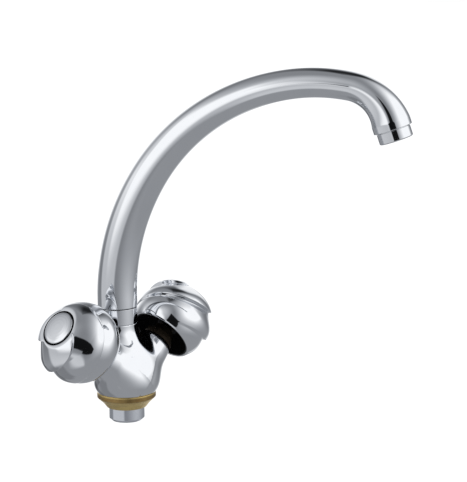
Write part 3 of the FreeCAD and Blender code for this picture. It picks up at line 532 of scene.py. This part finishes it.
chrome = metal("chromium plate", (0.77, 0.79, 0.825), (0.82, 0.835, 0.86), 0.02, 0.05)
points, faces = casting_mesh(*CASTING_BOX)
for turn in range(EVENING_TURNS):
    points = settle(relax(points, faces))
casting = new_piece("body-casting", points, faces.tolist(), depth_slope(points))


def arm_frame(side):
    """The frame of an arm: its Z runs out along the arm from where the arm axes meet."""
    lean = Matrix.Rotation(math.pi / 2 - ARM_RISE, 4, (-side, 0, 0))
    return Matrix.Translation(APEX) @ lean


def drill(name, steps, place=Matrix(), around=128):
    """A cutter for a stepped hole, from (radius, start, end) of each step."""
    outline = [(0, steps[0][1])]
    for radius, start, end in steps:
        outline += [(radius, start), (radius, end)]
    return turned(name, outline + [(0, steps[-1][2])], place, around)


SHANK_HOLE = (SPIGOT_RADIUS + 0.05, -OVERRUN, SPIGOT_HEIGHT + 1)
GROOVE_INSIDE = 15.55
GROOVE_OUTSIDE = 18.45
GROOVE_DEPTH = 1.55
SOCKET_RADIUS = 9.5
SOCKET_HOLE = (SOCKET_RADIUS, 29, NECK_HEIGHT + 2.4)
SEAT_BORE = (4.8, 6.73, 16.5)
ARM_BORE = (9.6, 16.5, ARM_LENGTH + 1.5)
CHANNEL = (FEED_RADIUS, SPIGOT_HEIGHT, 16.7)

spout_axis = Matrix.Translation((-SPOUT_SETBACK, 0, 0))
cutters = [
    drill("shank bore", [SHANK_HOLE]),
    turned("seal groove", [(GROOVE_INSIDE, -OVERRUN), (GROOVE_OUTSIDE, -OVERRUN),
                           (GROOVE_OUTSIDE, GROOVE_DEPTH), (GROOVE_INSIDE, GROOVE_DEPTH)]),
    drill("spout socket", [SOCKET_HOLE], spout_axis),
]
for side in (-1, 1):
    cutters.append(drill("valve hole", [SEAT_BORE, ARM_BORE], arm_frame(side), around=64))
    beside = Matrix.Translation((0, side * HOSE_SPACING / 2, 0))
    cutters.append(drill("water channel", [CHANNEL], beside, around=32))
carve(casting, cutters)
stand_for(casting, chrome, "chrome", "tap_body", "mixer_body")

# Headworks
#
# Each arm holds a brass housing with two ceramic discs on a rubber seat. The spindle turns
# the upper disc; washers, seals and a snap ring keep it in place and watertight.

# The housing, its washer, the spindle and the knob insert lie in the shade inside the knob, so
# their brass is painted near-black as that shade.
painted_shade_brass = metal("brass painted dark as shade", (0.015, 0.012, 0.01), (0.05, 0.038, 0.026),
                   0.45, 0.3, 0.00002)
steel = metal("stainless steel", (0.52, 0.53, 0.55), (0.64, 0.65, 0.67), 0.22, 0.2)
ceramic_finish = Finish(bpy.data.materials.new("lapped ceramic"))
glaze = ceramic_finish.noise(400, 3)
ceramic_finish.surface_set(
    Base_Color=ceramic_finish.mixed((0.84, 0.82, 0.76), (0.92, 0.91, 0.88), glaze),
    Roughness=0.12 + 0.1 * glaze,
    Normal=ceramic_finish.bump(glaze, 0.00001),
)
plastic_finish = Finish(bpy.data.materials.new("white moulded plastic"))
mould = plastic_finish.noise(900, 3)
plastic_finish.surface_set(
    Base_Color=plastic_finish.mixed((0.72, 0.72, 0.70), (0.84, 0.84, 0.82), mould),
    Roughness=0.4 + 0.2 * mould,
    Normal=plastic_finish.bump(mould, 0.00002),
)
white_plastic = plastic_finish.owner
HANDS = {"hot": -1, "cold": 1}
for hand in HANDS:
    dress(painted_shade_brass, hand + "_bonnet", hand + "_bonnet_washer", hand + "_spindle")
    dress(steel, hand + "_spindle_clip")
    dress(rubber, hand + "_seat_seal", hand + "_spindle_o_rings")
    dress(ceramic_finish.owner, hand + "_fixed_disc", hand + "_moving_disc")
    dress(white_plastic, hand + "_thrust_washer")

# Spout nut, slip ring and swivel
#
# The chromed collar nut screws on the body's neck and holds the split ring of the stem
# down. The spout turns on a thin dark plastic ring, which shows as a line under its foot.

NUT_FOOT = NECK_HEIGHT + 0.05
NUT_TOP = NECK_HEIGHT + 11.2
NUT_RADIUS = 14.1
NUT_BORE = 12.05
NUT_LIP = 2.0

brass = metal("machined brass", (0.60, 0.45, 0.20), (0.76, 0.61, 0.34), 0.18, 0.25)
spout_nut = turned("collar-nut", [
    (NUT_BORE, NUT_FOOT),
    (NUT_RADIUS, NUT_FOOT, 0.3),
    (NUT_RADIUS, NUT_TOP, 0.3),
    (SOCKET_RADIUS, NUT_TOP),
    (SOCKET_RADIUS, NUT_TOP - NUT_LIP),
    (NUT_BORE, NUT_TOP - NUT_LIP),
], spout_axis)
stand_for(spout_nut, chrome, "chrome", "tap_body", "spout_nut")

nylon = Finish(bpy.data.materials.new("dark plastic"))
sheen = nylon.noise(1200, 3)
nylon.surface_set(
    Base_Color=nylon.mixed((0.02, 0.02, 0.025), (0.06, 0.06, 0.07), sheen),
    Roughness=0.4 + 0.2 * sheen,
    Normal=nylon.bump(sheen, 0.00001),
)
dress(nylon.owner, "spout_slip_ring")
dress(brass, "spout_stem")
dress(rubber, "spout_o_rings")
dress(steel, "spout_retaining_ring")

# Spout tube
#
# A brass tube bent over in four tangent arcs, drawn thin towards the top and flared again
# at the mouth, then polished and chromed. Its wall is 1.5 mm.

SWING = math.radians(29)
OUTWARD = np.array((math.cos(SWING), math.sin(SWING), 0))
SIDEWAYS = np.array((-math.sin(SWING), math.cos(SWING), 0))
UP = np.array((0.0, 0.0, 1.0))
SPOUT_FOOT = np.array((-SPOUT_SETBACK, 0, NUT_TOP + 0.55))
FOOT_RADIUS = 14.25
SLENDER_RADIUS = 10.15
MOUTH_RADIUS = 13.7
FLARE_POWER = 1.6
FOOT_STRAIGHT = 7.0
MOUTH_STRAIGHT = 5.0
BENDS = ((163.6, 32.6), (142.8, 49.2), (130.0, 18.6), (36.0, 61.2))  # radius, degrees
ARCS = [radius * math.radians(turn) for radius, turn in BENDS]
RUNS = [(0, FOOT_STRAIGHT)] + [(bend[0], arc) for bend, arc in zip(BENDS, ARCS)]
RUNS.append((0, MOUTH_STRAIGHT))
NOSE_START = FOOT_STRAIGHT + sum(ARCS[:3])
SPOUT_LENGTH = sum(run[1] for run in RUNS)
TUBE_WALL = 1.5
TUBE_EDGE = 0.45
MOUTH_BORE = 12.05
MOUTH_EDGE = 0.15
MOUTH_DEPTH = 8.2
AROUND = 120


def centre_line(distance):
    """Point, direction and curvature of the tube's centre line at a distance along it."""
    point = SPOUT_FOOT.copy()
    angle = math.pi / 2
    bent = 0
    for radius, length in RUNS:
        step = min(distance, length)
        heading = angle
        chord = step
        if radius:
            turn = step / radius
            chord = 2 * radius * math.sin(turn / 2)
            heading = angle - turn / 2
            angle -= turn
        point += (OUTWARD * math.cos(heading) + UP * math.sin(heading)) * chord
        distance -= step
        if step > 0:
            bent = 1 / radius if radius else 0
        if distance <= 0:
            break
    return point, OUTWARD * math.cos(angle) + UP * math.sin(angle), bent


def tube_radius(distance):
    """The outside radius: a long smooth taper, then the flare over the last bend."""
    if distance < NOSE_START:
        share = (1 - math.cos(math.pi * distance / NOSE_START)) / 2
        return FOOT_RADIUS - (FOOT_RADIUS - SLENDER_RADIUS) * share
    reach = min(1, (distance - NOSE_START) / ARCS[3])
    return SLENDER_RADIUS + (MOUTH_RADIUS - SLENDER_RADIUS) * reach ** FLARE_POWER


def tube_slope(distance):
    step = 0.05
    after = tube_radius(min(distance + step, SPOUT_LENGTH))
    return (after - tube_radius(max(distance - step, 0))) / (2 * step)


def end_arc(at, radius, size, first, last):
    """Rounding of an end of the tube, as (distance, radius, normal out, normal along)."""
    rows = []
    for step in range(ARC_STEPS + 1):
        angle = math.radians(first + (last - first) * step / ARC_STEPS)
        out, along = math.cos(angle), math.sin(angle)
        rows.append((at + size * along, radius + size * out, out, along))
    return rows


tube_rows = end_arc(TUBE_EDGE, tube_radius(0) - TUBE_EDGE, TUBE_EDGE, -90, 0)
for at in np.linspace(1, SPOUT_LENGTH - 1, 260):
    slope = tube_slope(at)
    size = math.hypot(1, slope)
    tube_rows.append((at, tube_radius(at), 1 / size, -slope / size))
tube_rows += end_arc(SPOUT_LENGTH - TUBE_EDGE, tube_radius(SPOUT_LENGTH) - TUBE_EDGE,
                     TUBE_EDGE, 0, 90)
tube_rows += end_arc(SPOUT_LENGTH - MOUTH_EDGE, MOUTH_BORE + 0.05 + MOUTH_EDGE,
                     MOUTH_EDGE, 90, 180)
for at in np.linspace(SPOUT_LENGTH - 1, SPOUT_LENGTH - MOUTH_DEPTH + 0.1, 6):
    tube_rows.append((at, MOUTH_BORE, -1, 0))
for at in np.linspace(SPOUT_LENGTH - MOUTH_DEPTH - 0.1, 1, 90):
    tube_rows.append((at, tube_radius(at) - TUBE_WALL, -1, 0))
tube_rows.append((0, tube_radius(0) - TUBE_WALL, 0, -1))

spin = np.linspace(0, 2 * math.pi, AROUND, endpoint=False)
points = []
normals = []
for at, radius, out, along in tube_rows:
    centre, direction, bent = centre_line(min(max(at, 0), SPOUT_LENGTH))
    inward = np.cross(SIDEWAYS, direction)
    spokes = np.cos(spin)[:, None] * inward + np.sin(spin)[:, None] * SIDEWAYS
    tightness = 1 - bent * radius * np.cos(spin)
    points.append(centre + radius * spokes)
    normals.append(out * tightness[:, None] * spokes + along * direction)
normals = np.concatenate(normals)
normals /= np.linalg.norm(normals, axis=1)[:, None]
tube = new_piece("swan-neck", np.concatenate(points),
                 grid_faces(len(tube_rows), AROUND, True), normals)
stand_for(tube, chrome, "chrome", "spout", "spout_tube")

# Aerator
#
# A chromed ring screwed into the mouth holds a white flow former and two stainless
# screens, which make the water soft. A rubber washer seals it.

RING_RADIUS = 12.0
RING_BORE = 10.4
RING_END = 8.0
RING_NECK = 11.95
RING_NECK_LENGTH = 5.9
RING_GROOVE = 0.5
RING_LIP = 1.3
RING_LIP_BORE = 9.3
SCREEN_DEPTHS = (RING_END - 2.75, RING_END - 4.15)

mouth, mouth_way, _ = centre_line(SPOUT_LENGTH)
mouth_frame = Matrix((SIDEWAYS, np.cross(mouth_way, SIDEWAYS), mouth_way)).transposed()
mouth_frame = Matrix.Translation(mouth) @ mouth_frame.to_4x4()
aerator_ring = turned("aerator-ring", [
    (RING_BORE, -RING_NECK_LENGTH),
    (RING_NECK, -RING_NECK_LENGTH, 0.2),
    (RING_NECK, 0, 0.05),
    (RING_RADIUS - RING_GROOVE, 0, 0.05),
    (RING_RADIUS - RING_GROOVE, RING_GROOVE, 0.05),
    (RING_RADIUS, RING_GROOVE, 0.15),
    (RING_RADIUS, RING_END - 0.6, 0.4),
    (RING_RADIUS - 0.6, RING_END, 0.4),
    (RING_LIP_BORE, RING_END, 0.3),
    (RING_LIP_BORE, RING_END - RING_LIP),
    (RING_BORE, RING_END - RING_LIP),
], mouth_frame)
stand_for(aerator_ring, chrome, "chrome", "spout", "aerator_shell")
dress(white_plastic, "aerator_insert")
dress(rubber, "aerator_washer")


def screen_tree():
    """Geometry nodes for a laid wire screen: two crossed layers of wires in a circle."""
    tree = bpy.data.node_groups.new("wire screen", "GeometryNodeTree")
    face = tree.interface
    for name, value in (("Radius", 0.00895), ("Spacing", 0.0006), ("Wire", 0.00011)):
        socket = face.new_socket(name, in_out="INPUT", socket_type="NodeSocketFloat")
        socket.default_value = value
    face.new_socket("Finish", in_out="INPUT", socket_type="NodeSocketMaterial")
    face.new_socket("Geometry", in_out="OUTPUT", socket_type="NodeSocketGeometry")
    made = tree.nodes.new
    link = tree.links.new

    def maths(operation, *terms):
        item = made("ShaderNodeMath")
        item.operation = operation
        for socket, term in zip(item.inputs, terms):
            if isinstance(term, bpy.types.NodeSocket):
                link(term, socket)
            else:
                socket.default_value = term
        return item.outputs[0]

    given = made("NodeGroupInput").outputs
    half = maths("FLOOR", maths("DIVIDE", given["Radius"], given["Spacing"]))
    half = maths("SUBTRACT", half, 1.0)
    line = made("GeometryNodeMeshLine")
    link(maths("ADD", maths("MULTIPLY", half, 2.0), 1.0), line.inputs["Count"])
    start = made("ShaderNodeCombineXYZ")
    step = made("ShaderNodeCombineXYZ")
    link(maths("MULTIPLY", maths("MULTIPLY", half, given["Spacing"]), -1.0),
         start.inputs["Y"])
    link(given["Spacing"], step.inputs["Y"])
    link(start.outputs[0], line.inputs["Start Location"])
    link(step.outputs[0], line.inputs["Offset"])
    wire = made("GeometryNodeMeshCylinder")
    wire.inputs["Vertices"].default_value = 6
    wire.inputs["Depth"].default_value = 2.0
    link(given["Wire"], wire.inputs["Radius"])
    lay = made("GeometryNodeTransform")
    link(wire.outputs["Mesh"], lay.inputs["Geometry"])
    lay.inputs["Rotation"].default_value = (0, math.pi / 2, 0)
    place = made("GeometryNodeInputPosition")
    apart = made("ShaderNodeSeparateXYZ")
    link(place.outputs[0], apart.inputs[0])
    square = maths("SUBTRACT", maths("POWER", given["Radius"], 2.0),
                   maths("POWER", maths("ABSOLUTE", apart.outputs["Y"]), 2.0))
    size = made("ShaderNodeCombineXYZ")
    link(maths("SQRT", square), size.inputs["X"])
    size.inputs["Y"].default_value = 1.0
    size.inputs["Z"].default_value = 1.0
    rows = made("GeometryNodeInstanceOnPoints")
    link(line.outputs["Mesh"], rows.inputs["Points"])
    link(lay.outputs["Geometry"], rows.inputs["Instance"])
    link(size.outputs[0], rows.inputs["Scale"])
    crossed = made("GeometryNodeTransform")
    link(rows.outputs["Instances"], crossed.inputs["Geometry"])
    crossed.inputs["Rotation"].default_value = (0, 0, math.pi / 2)
    rise = made("ShaderNodeCombineXYZ")
    link(maths("MULTIPLY", given["Wire"], 1.9), rise.inputs["Z"])
    link(rise.outputs[0], crossed.inputs["Translation"])
    both = made("GeometryNodeJoinGeometry")
    link(crossed.outputs["Geometry"], both.inputs[0])
    link(rows.outputs["Instances"], both.inputs[0])
    whole = made("GeometryNodeRealizeInstances")
    link(both.outputs[0], whole.inputs[0])
    coat = made("GeometryNodeSetMaterial")
    link(whole.outputs[0], coat.inputs["Geometry"])
    link(given["Finish"], coat.inputs["Material"])
    link(coat.outputs[0], made("NodeGroupOutput").inputs[0])
    return tree


tree = screen_tree()
meshes = []
for depth in SCREEN_DEPTHS:
    screen = bpy.data.objects.new("screen", bpy.data.meshes.new("screen"))
    bpy.context.scene.collection.objects.link(screen)
    weave = screen.modifiers.new("weave", "NODES")
    weave.node_group = tree
    for socket in tree.interface.items_tree:
        if socket.name == "Finish":
            weave[socket.identifier] = steel
    graph = bpy.context.evaluated_depsgraph_get()
    mesh = bpy.data.meshes.new_from_object(screen.evaluated_get(graph), depsgraph=graph)
    metres = mouth_frame.copy()
    metres.translation = (mouth + mouth_way * depth) * MM
    mesh.transform(metres)
    meshes.append(mesh)
    bpy.data.objects.remove(screen)
joined = bpy.data.meshes.new("wire-screens")
points = [tuple(v.co) for mesh in meshes for v in mesh.vertices]
first = len(meshes[0].vertices)
faces = [tuple(f.vertices) for f in meshes[0].polygons]
faces += [tuple(v + first for v in f.vertices) for f in meshes[1].polygons]
joined.from_pydata(points, [], faces)
screens = bpy.data.objects.new("wire-screens", joined)
bpy.context.scene.collection.objects.link(screens)
stand_for(screens, steel, "steel", "spout", "aerator_screens")

# Knobs
#
# Hollow balls, cast and chromed, whose three lobes wind around them like a turban: beside
# each crisp edge the surface drops into a hollow and climbs back to the next one. A screw
# under the front disc holds each knob on its spindle.

KNOB_LENGTH = 39.4
KNOB_RADIUS = 29.0
KNOB_MIDDLE = 18.4
RIM_RADIUS = 23.34
FRONT_RADIUS = 16.45
KNOB_WALL = 2.2
KNOB_RIM = ARM_LENGTH + 6.1
LOBES = 3
LOBE_COLUMNS = 64
SWIRL_RATE = 5.86  # degrees of winding to a millimetre of length
SWIRL_DEPTH = 3.8
SWIRL_EDGE = 0.1
SWIRL_GROW = 0.75
SWIRL_LOSS = 0.4
PHASES = {"hot": -16.0, "cold": 49.0}
CAP_RADIUS = 11.8
CAP_RECESS = 3.2
CAP_DOME = 1.5
SEAT_RADIUS = 12.9
PLUG_RADIUS = 4.95
PLUG_BORE = 5.0
SCREW_BORE = 2.1
BUSH_BORE = 6.05
BUSH_END = 20.0
HUB_RADIUS = 8.0
HUB_FOOT = 8.6
HUB_FILLET = 4.0
RIM_EDGE = 0.6
RIM_ARC = (-150, -120, -90, -60, -30)
SKIN_ROWS = 132
OUTER_ROWS = len(RIM_ARC) + SKIN_ROWS


def ball_radius(z):
    """The radius of the ball without its hollows, at a distance in front of the rim."""
    rear = z < KNOB_MIDDLE
    share = np.where(rear, (KNOB_MIDDLE - z) / KNOB_MIDDLE,
                     (z - KNOB_MIDDLE) / (KNOB_LENGTH - KNOB_MIDDLE))
    end = np.where(rear, RIM_RADIUS, FRONT_RADIUS)
    return np.sqrt(KNOB_RADIUS ** 2 - (KNOB_RADIUS ** 2 - end ** 2) * share ** 2)


def lobe_hollow(share):
    """How hollow a lobe is, from 0 at its edges to 1, at a share of the way across it."""
    drop = (1 - np.cos(math.pi * share / SWIRL_EDGE)) / 2
    climb = (1 + np.cos(math.pi * (share - SWIRL_EDGE) / (1 - SWIRL_EDGE))) / 2
    return np.where(share < SWIRL_EDGE, drop, climb ** 1.3)


def hollow_depth(z):
    """The depth of the hollows: none at the rim, growing to SWIRL_GROW of the length."""
    share = z / KNOB_LENGTH
    rear = np.sin(math.pi / 2 * np.minimum(1, share / SWIRL_GROW))
    front = 1 - SWIRL_LOSS * np.maximum(0, share - SWIRL_GROW) / (1 - SWIRL_GROW)
    return SWIRL_DEPTH * rear ** 2 * front


def knob_mesh(name, side, phase):
    """The hollow ball as one closed grid, and how many points lie around it.

    The rows of the grid are the outside, the front seat, the bores, the hub and the cavity.
    """
    shares = np.arange(LOBE_COLUMNS) / LOBE_COLUMNS
    shares = shares - 0.75 * SWIRL_EDGE * np.sin(2 * math.pi * shares) / (2 * math.pi)
    steps = np.concatenate([(lobe + shares) / LOBES for lobe in range(LOBES)])
    columns = len(steps)

    def ring(z, radius, level=None):
        turn = SWIRL_RATE * (min(max(z, 0), KNOB_LENGTH) - KNOB_LENGTH)
        angle = np.radians(360 * steps + turn + phase)
        radius = np.broadcast_to(radius, columns)
        height = np.full(columns, z if level is None else level)
        return np.stack([radius * np.cos(angle), radius * np.sin(angle), height], 1)

    rows = []
    for angle in RIM_ARC:
        a = math.radians(angle)
        rows.append(ring(0, RIM_RADIUS - RIM_EDGE + RIM_EDGE * math.cos(a),
                         RIM_EDGE + RIM_EDGE * math.sin(a)))
    for z in np.linspace(RIM_EDGE, KNOB_LENGTH + 0.35, SKIN_ROWS):
        skin = ball_radius(z) - hollow_depth(min(z, KNOB_LENGTH)) * lobe_hollow(
            (steps * LOBES) % 1)
        level = float(soft_least(np.array(z), np.array(KNOB_LENGTH), 0.7))
        rows.append(ring(z, skin, level))
    for radius, depth in ((SEAT_RADIUS + 0.25, 0), (SEAT_RADIUS + 0.07, 0.07),
                          (SEAT_RADIUS, 0.25), (SEAT_RADIUS, CAP_RECESS - 0.2),
                          (SEAT_RADIUS - 0.1, CAP_RECESS),
                          (PLUG_BORE + 0.1, CAP_RECESS), (PLUG_BORE, CAP_RECESS + 0.1)):
        rows.append(ring(KNOB_LENGTH, radius, KNOB_LENGTH - depth))
    front_wall = KNOB_LENGTH - CAP_RECESS - 3
    for radius, level in ((PLUG_BORE, BUSH_END + 3), (SCREW_BORE, BUSH_END + 3),
                          (SCREW_BORE, BUSH_END), (BUSH_BORE, BUSH_END),
                          (BUSH_BORE, HUB_FOOT), (HUB_RADIUS, HUB_FOOT),
                          (HUB_RADIUS, front_wall - 0.5),
                          (HUB_RADIUS + HUB_FILLET, front_wall)):
        rows.append(ring(0, radius, level))
    for z in np.linspace(0.74, 0.05, 14) * KNOB_LENGTH:
        rows.append(ring(0, float(ball_radius(z) - hollow_depth(z) - KNOB_WALL), z))
    rows.append(ring(0, RIM_RADIUS - KNOB_WALL, 0.5))
    points = np.concatenate(rows)
    placed = arm_frame(side) @ Matrix.Translation((0, 0, KNOB_RIM))
    turn = np.array(placed.to_3x3())
    points = points @ turn.T + np.array(placed.translation)
    return new_piece(name, points, grid_faces(len(rows), columns, True)), columns


# Painted shade: the inside of each knob, its bores and the groove round the disc are coloured
# near-black for the shade in the hollow.
knob_painted_shade = metal("bare casting painted dark as shade", (0.012, 0.012, 0.013), (0.05, 0.05, 0.052),
                    0.6, 0.3, 0.0001)
for hand, side in HANDS.items():
    knob, columns = knob_mesh(hand + "-swirled-knob", side, PHASES[hand])
    knob.data.set_sharp_from_angle(angle=math.radians(40))
    stand_for(knob, chrome, "chrome", hand + "_handle", hand + "_knob")
    # Every face past the outside rows takes the painted shade.
    knob.data.materials.append(knob_painted_shade)
    for face in knob.data.polygons[OUTER_ROWS * columns:]:
        face.material_index = 1
    dress(painted_shade_brass, hand + "_knob_insert")
    dress(steel, hand + "_knob_screw")

    # The plain disc that covers the screw is domed a little and sits in a groove painted dark
    # as shade.
    front = KNOB_RIM + KNOB_LENGTH
    edge = front + 0.3
    back = front - CAP_RECESS + 0.05
    crown = [(CAP_RADIUS * share, edge + CAP_DOME * math.sqrt(1 - share ** 2), 3)
             for share in (0.97, 0.9, 0.8, 0.65, 0.45, 0.22)]
    cap = turned(hand + "-knob-disc", [
        (0, back - 6.05),
        (PLUG_RADIUS, back - 6.05, 0.2),
        (PLUG_RADIUS, back, 0.05),
        (CAP_RADIUS - 0.6, back),
        (CAP_RADIUS, back + 0.6),
        (CAP_RADIUS, edge, 0.25),
        *crown,
        (0, edge + CAP_DOME),
    ], arm_frame(side))
    stand_for(cap, chrome, "chrome", hand + "_handle", hand + "_knob_cap")

# Studio
#
# A pale room with soft boxes and dark cards around the object, and a plain pale floor that
# the chrome doesn't mirror. The camera stands where the outlines fit the photograph.

CAMERA = Vector((0.842154, -0.833634, 0.323962))
RIGHT = Vector((0.750028, 0.661325, -0.010356))
ABOVE = Vector((-0.110946, 0.141232, 0.983740))
BACK = Vector((0.652035, -0.736683, 0.179300))
SENSOR = 36
FOCAL_SHARE = 1697.13 / 482  # focal length over the height of the picture
FLOOR_REACH = 6
FLOOR_GLOW = 0.9
BRIGHTEST = 1.15
camera = bpy.data.objects.new("camera", bpy.data.cameras.new("camera"))
turn = Matrix((RIGHT, ABOVE, BACK)).transposed().to_4x4()
camera.matrix_world = Matrix.Translation(CAMERA) @ turn
camera.data.sensor_width = SENSOR
camera.data.lens = SENSOR * FOCAL_SHARE
camera.data.clip_start = 0.01
camera.data.clip_end = 100
bpy.context.scene.collection.objects.link(camera)
bpy.context.scene.camera = camera

floor = bpy.data.objects.new("floor", bpy.data.meshes.new("floor"))
floor_height = SHANK_BOTTOM * MM - 0.0002
floor.data.from_pydata([(x * FLOOR_REACH, y * FLOOR_REACH, floor_height) for x, y in
                        ((-1, -1), (1, -1), (1, 1), (-1, 1))], [], [(0, 1, 2, 3)])
bpy.context.scene.collection.objects.link(floor)
paper = Finish(bpy.data.materials.new("pale floor"), "ShaderNodeMixShader")
mirrored = paper.node("ShaderNodeLightPath", {}, give="Is Glossy Ray")
matt = paper.node("ShaderNodeBsdfDiffuse", {}, Color=(0.35, 0.35, 0.36, 1))
glow = paper.node("ShaderNodeEmission", {}, Color=(1, 1, 1, 1), Strength=FLOOR_GLOW)
lit = paper.node("ShaderNodeAddShader", {}, matt, glow)
clear = paper.node("ShaderNodeBsdfTransparent", {}, Color=(1, 1, 1, 1))
for socket, value in zip(paper.surface.inputs, (mirrored, lit, clear)):
    paper.feed(socket, value)
floor.data.materials.append(paper.owner)

world = bpy.data.worlds.new("studio")
bpy.context.scene.world = world
room = Finish(world, "ShaderNodeBackground")
CAMERA_AZIMUTH = math.degrees(math.atan2(BACK.y, BACK.x))
way = room.node("ShaderNodeTexCoord", {}, give="Generated")
ahead = room.node("ShaderNodeSeparateXYZ", {}, way)
aside = Value(room, ahead.socket.node.outputs["Y"])
upward = Value(room, ahead.socket.node.outputs["Z"])
azimuth = aside.math("ARCTAN2", aside, ahead) * math.degrees(1) - CAMERA_AZIMUTH
elevation = upward.math("ARCSINE", upward) * math.degrees(1)


def soft_step(value, low, high):
    return room.node("ShaderNodeMapRange", {"interpolation_type": "SMOOTHSTEP"},
                     value, low, high, 0.0, 1.0)


def panel(centre, half_width, low, high, soft, lean, taper=0.0):
    """1 on a panel of the room and 0 off it, in degrees; a taper narrows it up and down.

    Its centre is an angle from the camera's side of the object.
    """
    width = azimuth - centre - elevation * lean
    width = width.math("WRAP", width, 180.0, -180.0)
    width = width.math("ABSOLUTE", width)
    width = width + taper * elevation.math("ABSOLUTE", elevation)
    inside = 1 - soft_step(width, half_width - soft, half_width + soft)
    inside = inside * soft_step(elevation, low - soft, low + soft)
    return inside * (1 - soft_step(elevation, high - soft, high + soft))


# Each panel: strength, centre, half width, lowest, highest, softness, lean and any taper.
WHITE_PANELS = (
    (0.77, -71, 52, 16, 44, 28, 0.15),
    (1.87, 72, 37, 5, 48, 40, 0.17),
    (0.79, 169, 11, 1, 44, 6, -0.26),
    (0.94, -159, 19, -21, 20, 18, 0.22),
    (0.34, -61, 42, -40, 21, 6, -0.27),
    (-0.09, -115, 28, -69, -36, 8, -0.17),
    (0.45, 176, 20, -43, -4, 10, 0.01),
    (0.30, 94, 26, 9, 38, 5, -0.03),
    (0.40, -44, 26, -4, 40, 7, -0.55),
)
DARK_PANELS = (
    (0.93, 162, 34, 42, 88, 20, -0.02),
    (0.42, -165, 29, -47, -26, 2, -0.08),
    (0.97, 0, 22, -10.5, 31, 2, -0.1, 0.75),
    (0.75, -146, 8, -28, -9, 3, 0.0),
)
# The bare room is darker above the horizon than below it, and lighter again overhead.
level = 0.34 - 0.12 * soft_step(elevation, -30, 0) + 0.07 * soft_step(elevation, 30, 60)
for strength, *place in WHITE_PANELS:
    level = level + strength * panel(*place)
for strength, *place in DARK_PANELS:
    level = level * (1 - strength * panel(*place))
level = level.math("MINIMUM", level, BRIGHTEST)
seen = room.node("ShaderNodeLightPath", {}, give="Is Camera Ray")
room.feed(room.surface.inputs["Color"],
          room.mixed((0.90, 0.935, 1.0), (1, 1, 1), seen.math("MAXIMUM", seen, level)))
room.feed(room.surface.inputs["Strength"], seen + (1 - seen) * level)

bpy.context.scene.view_settings.view_transform = "Standard"
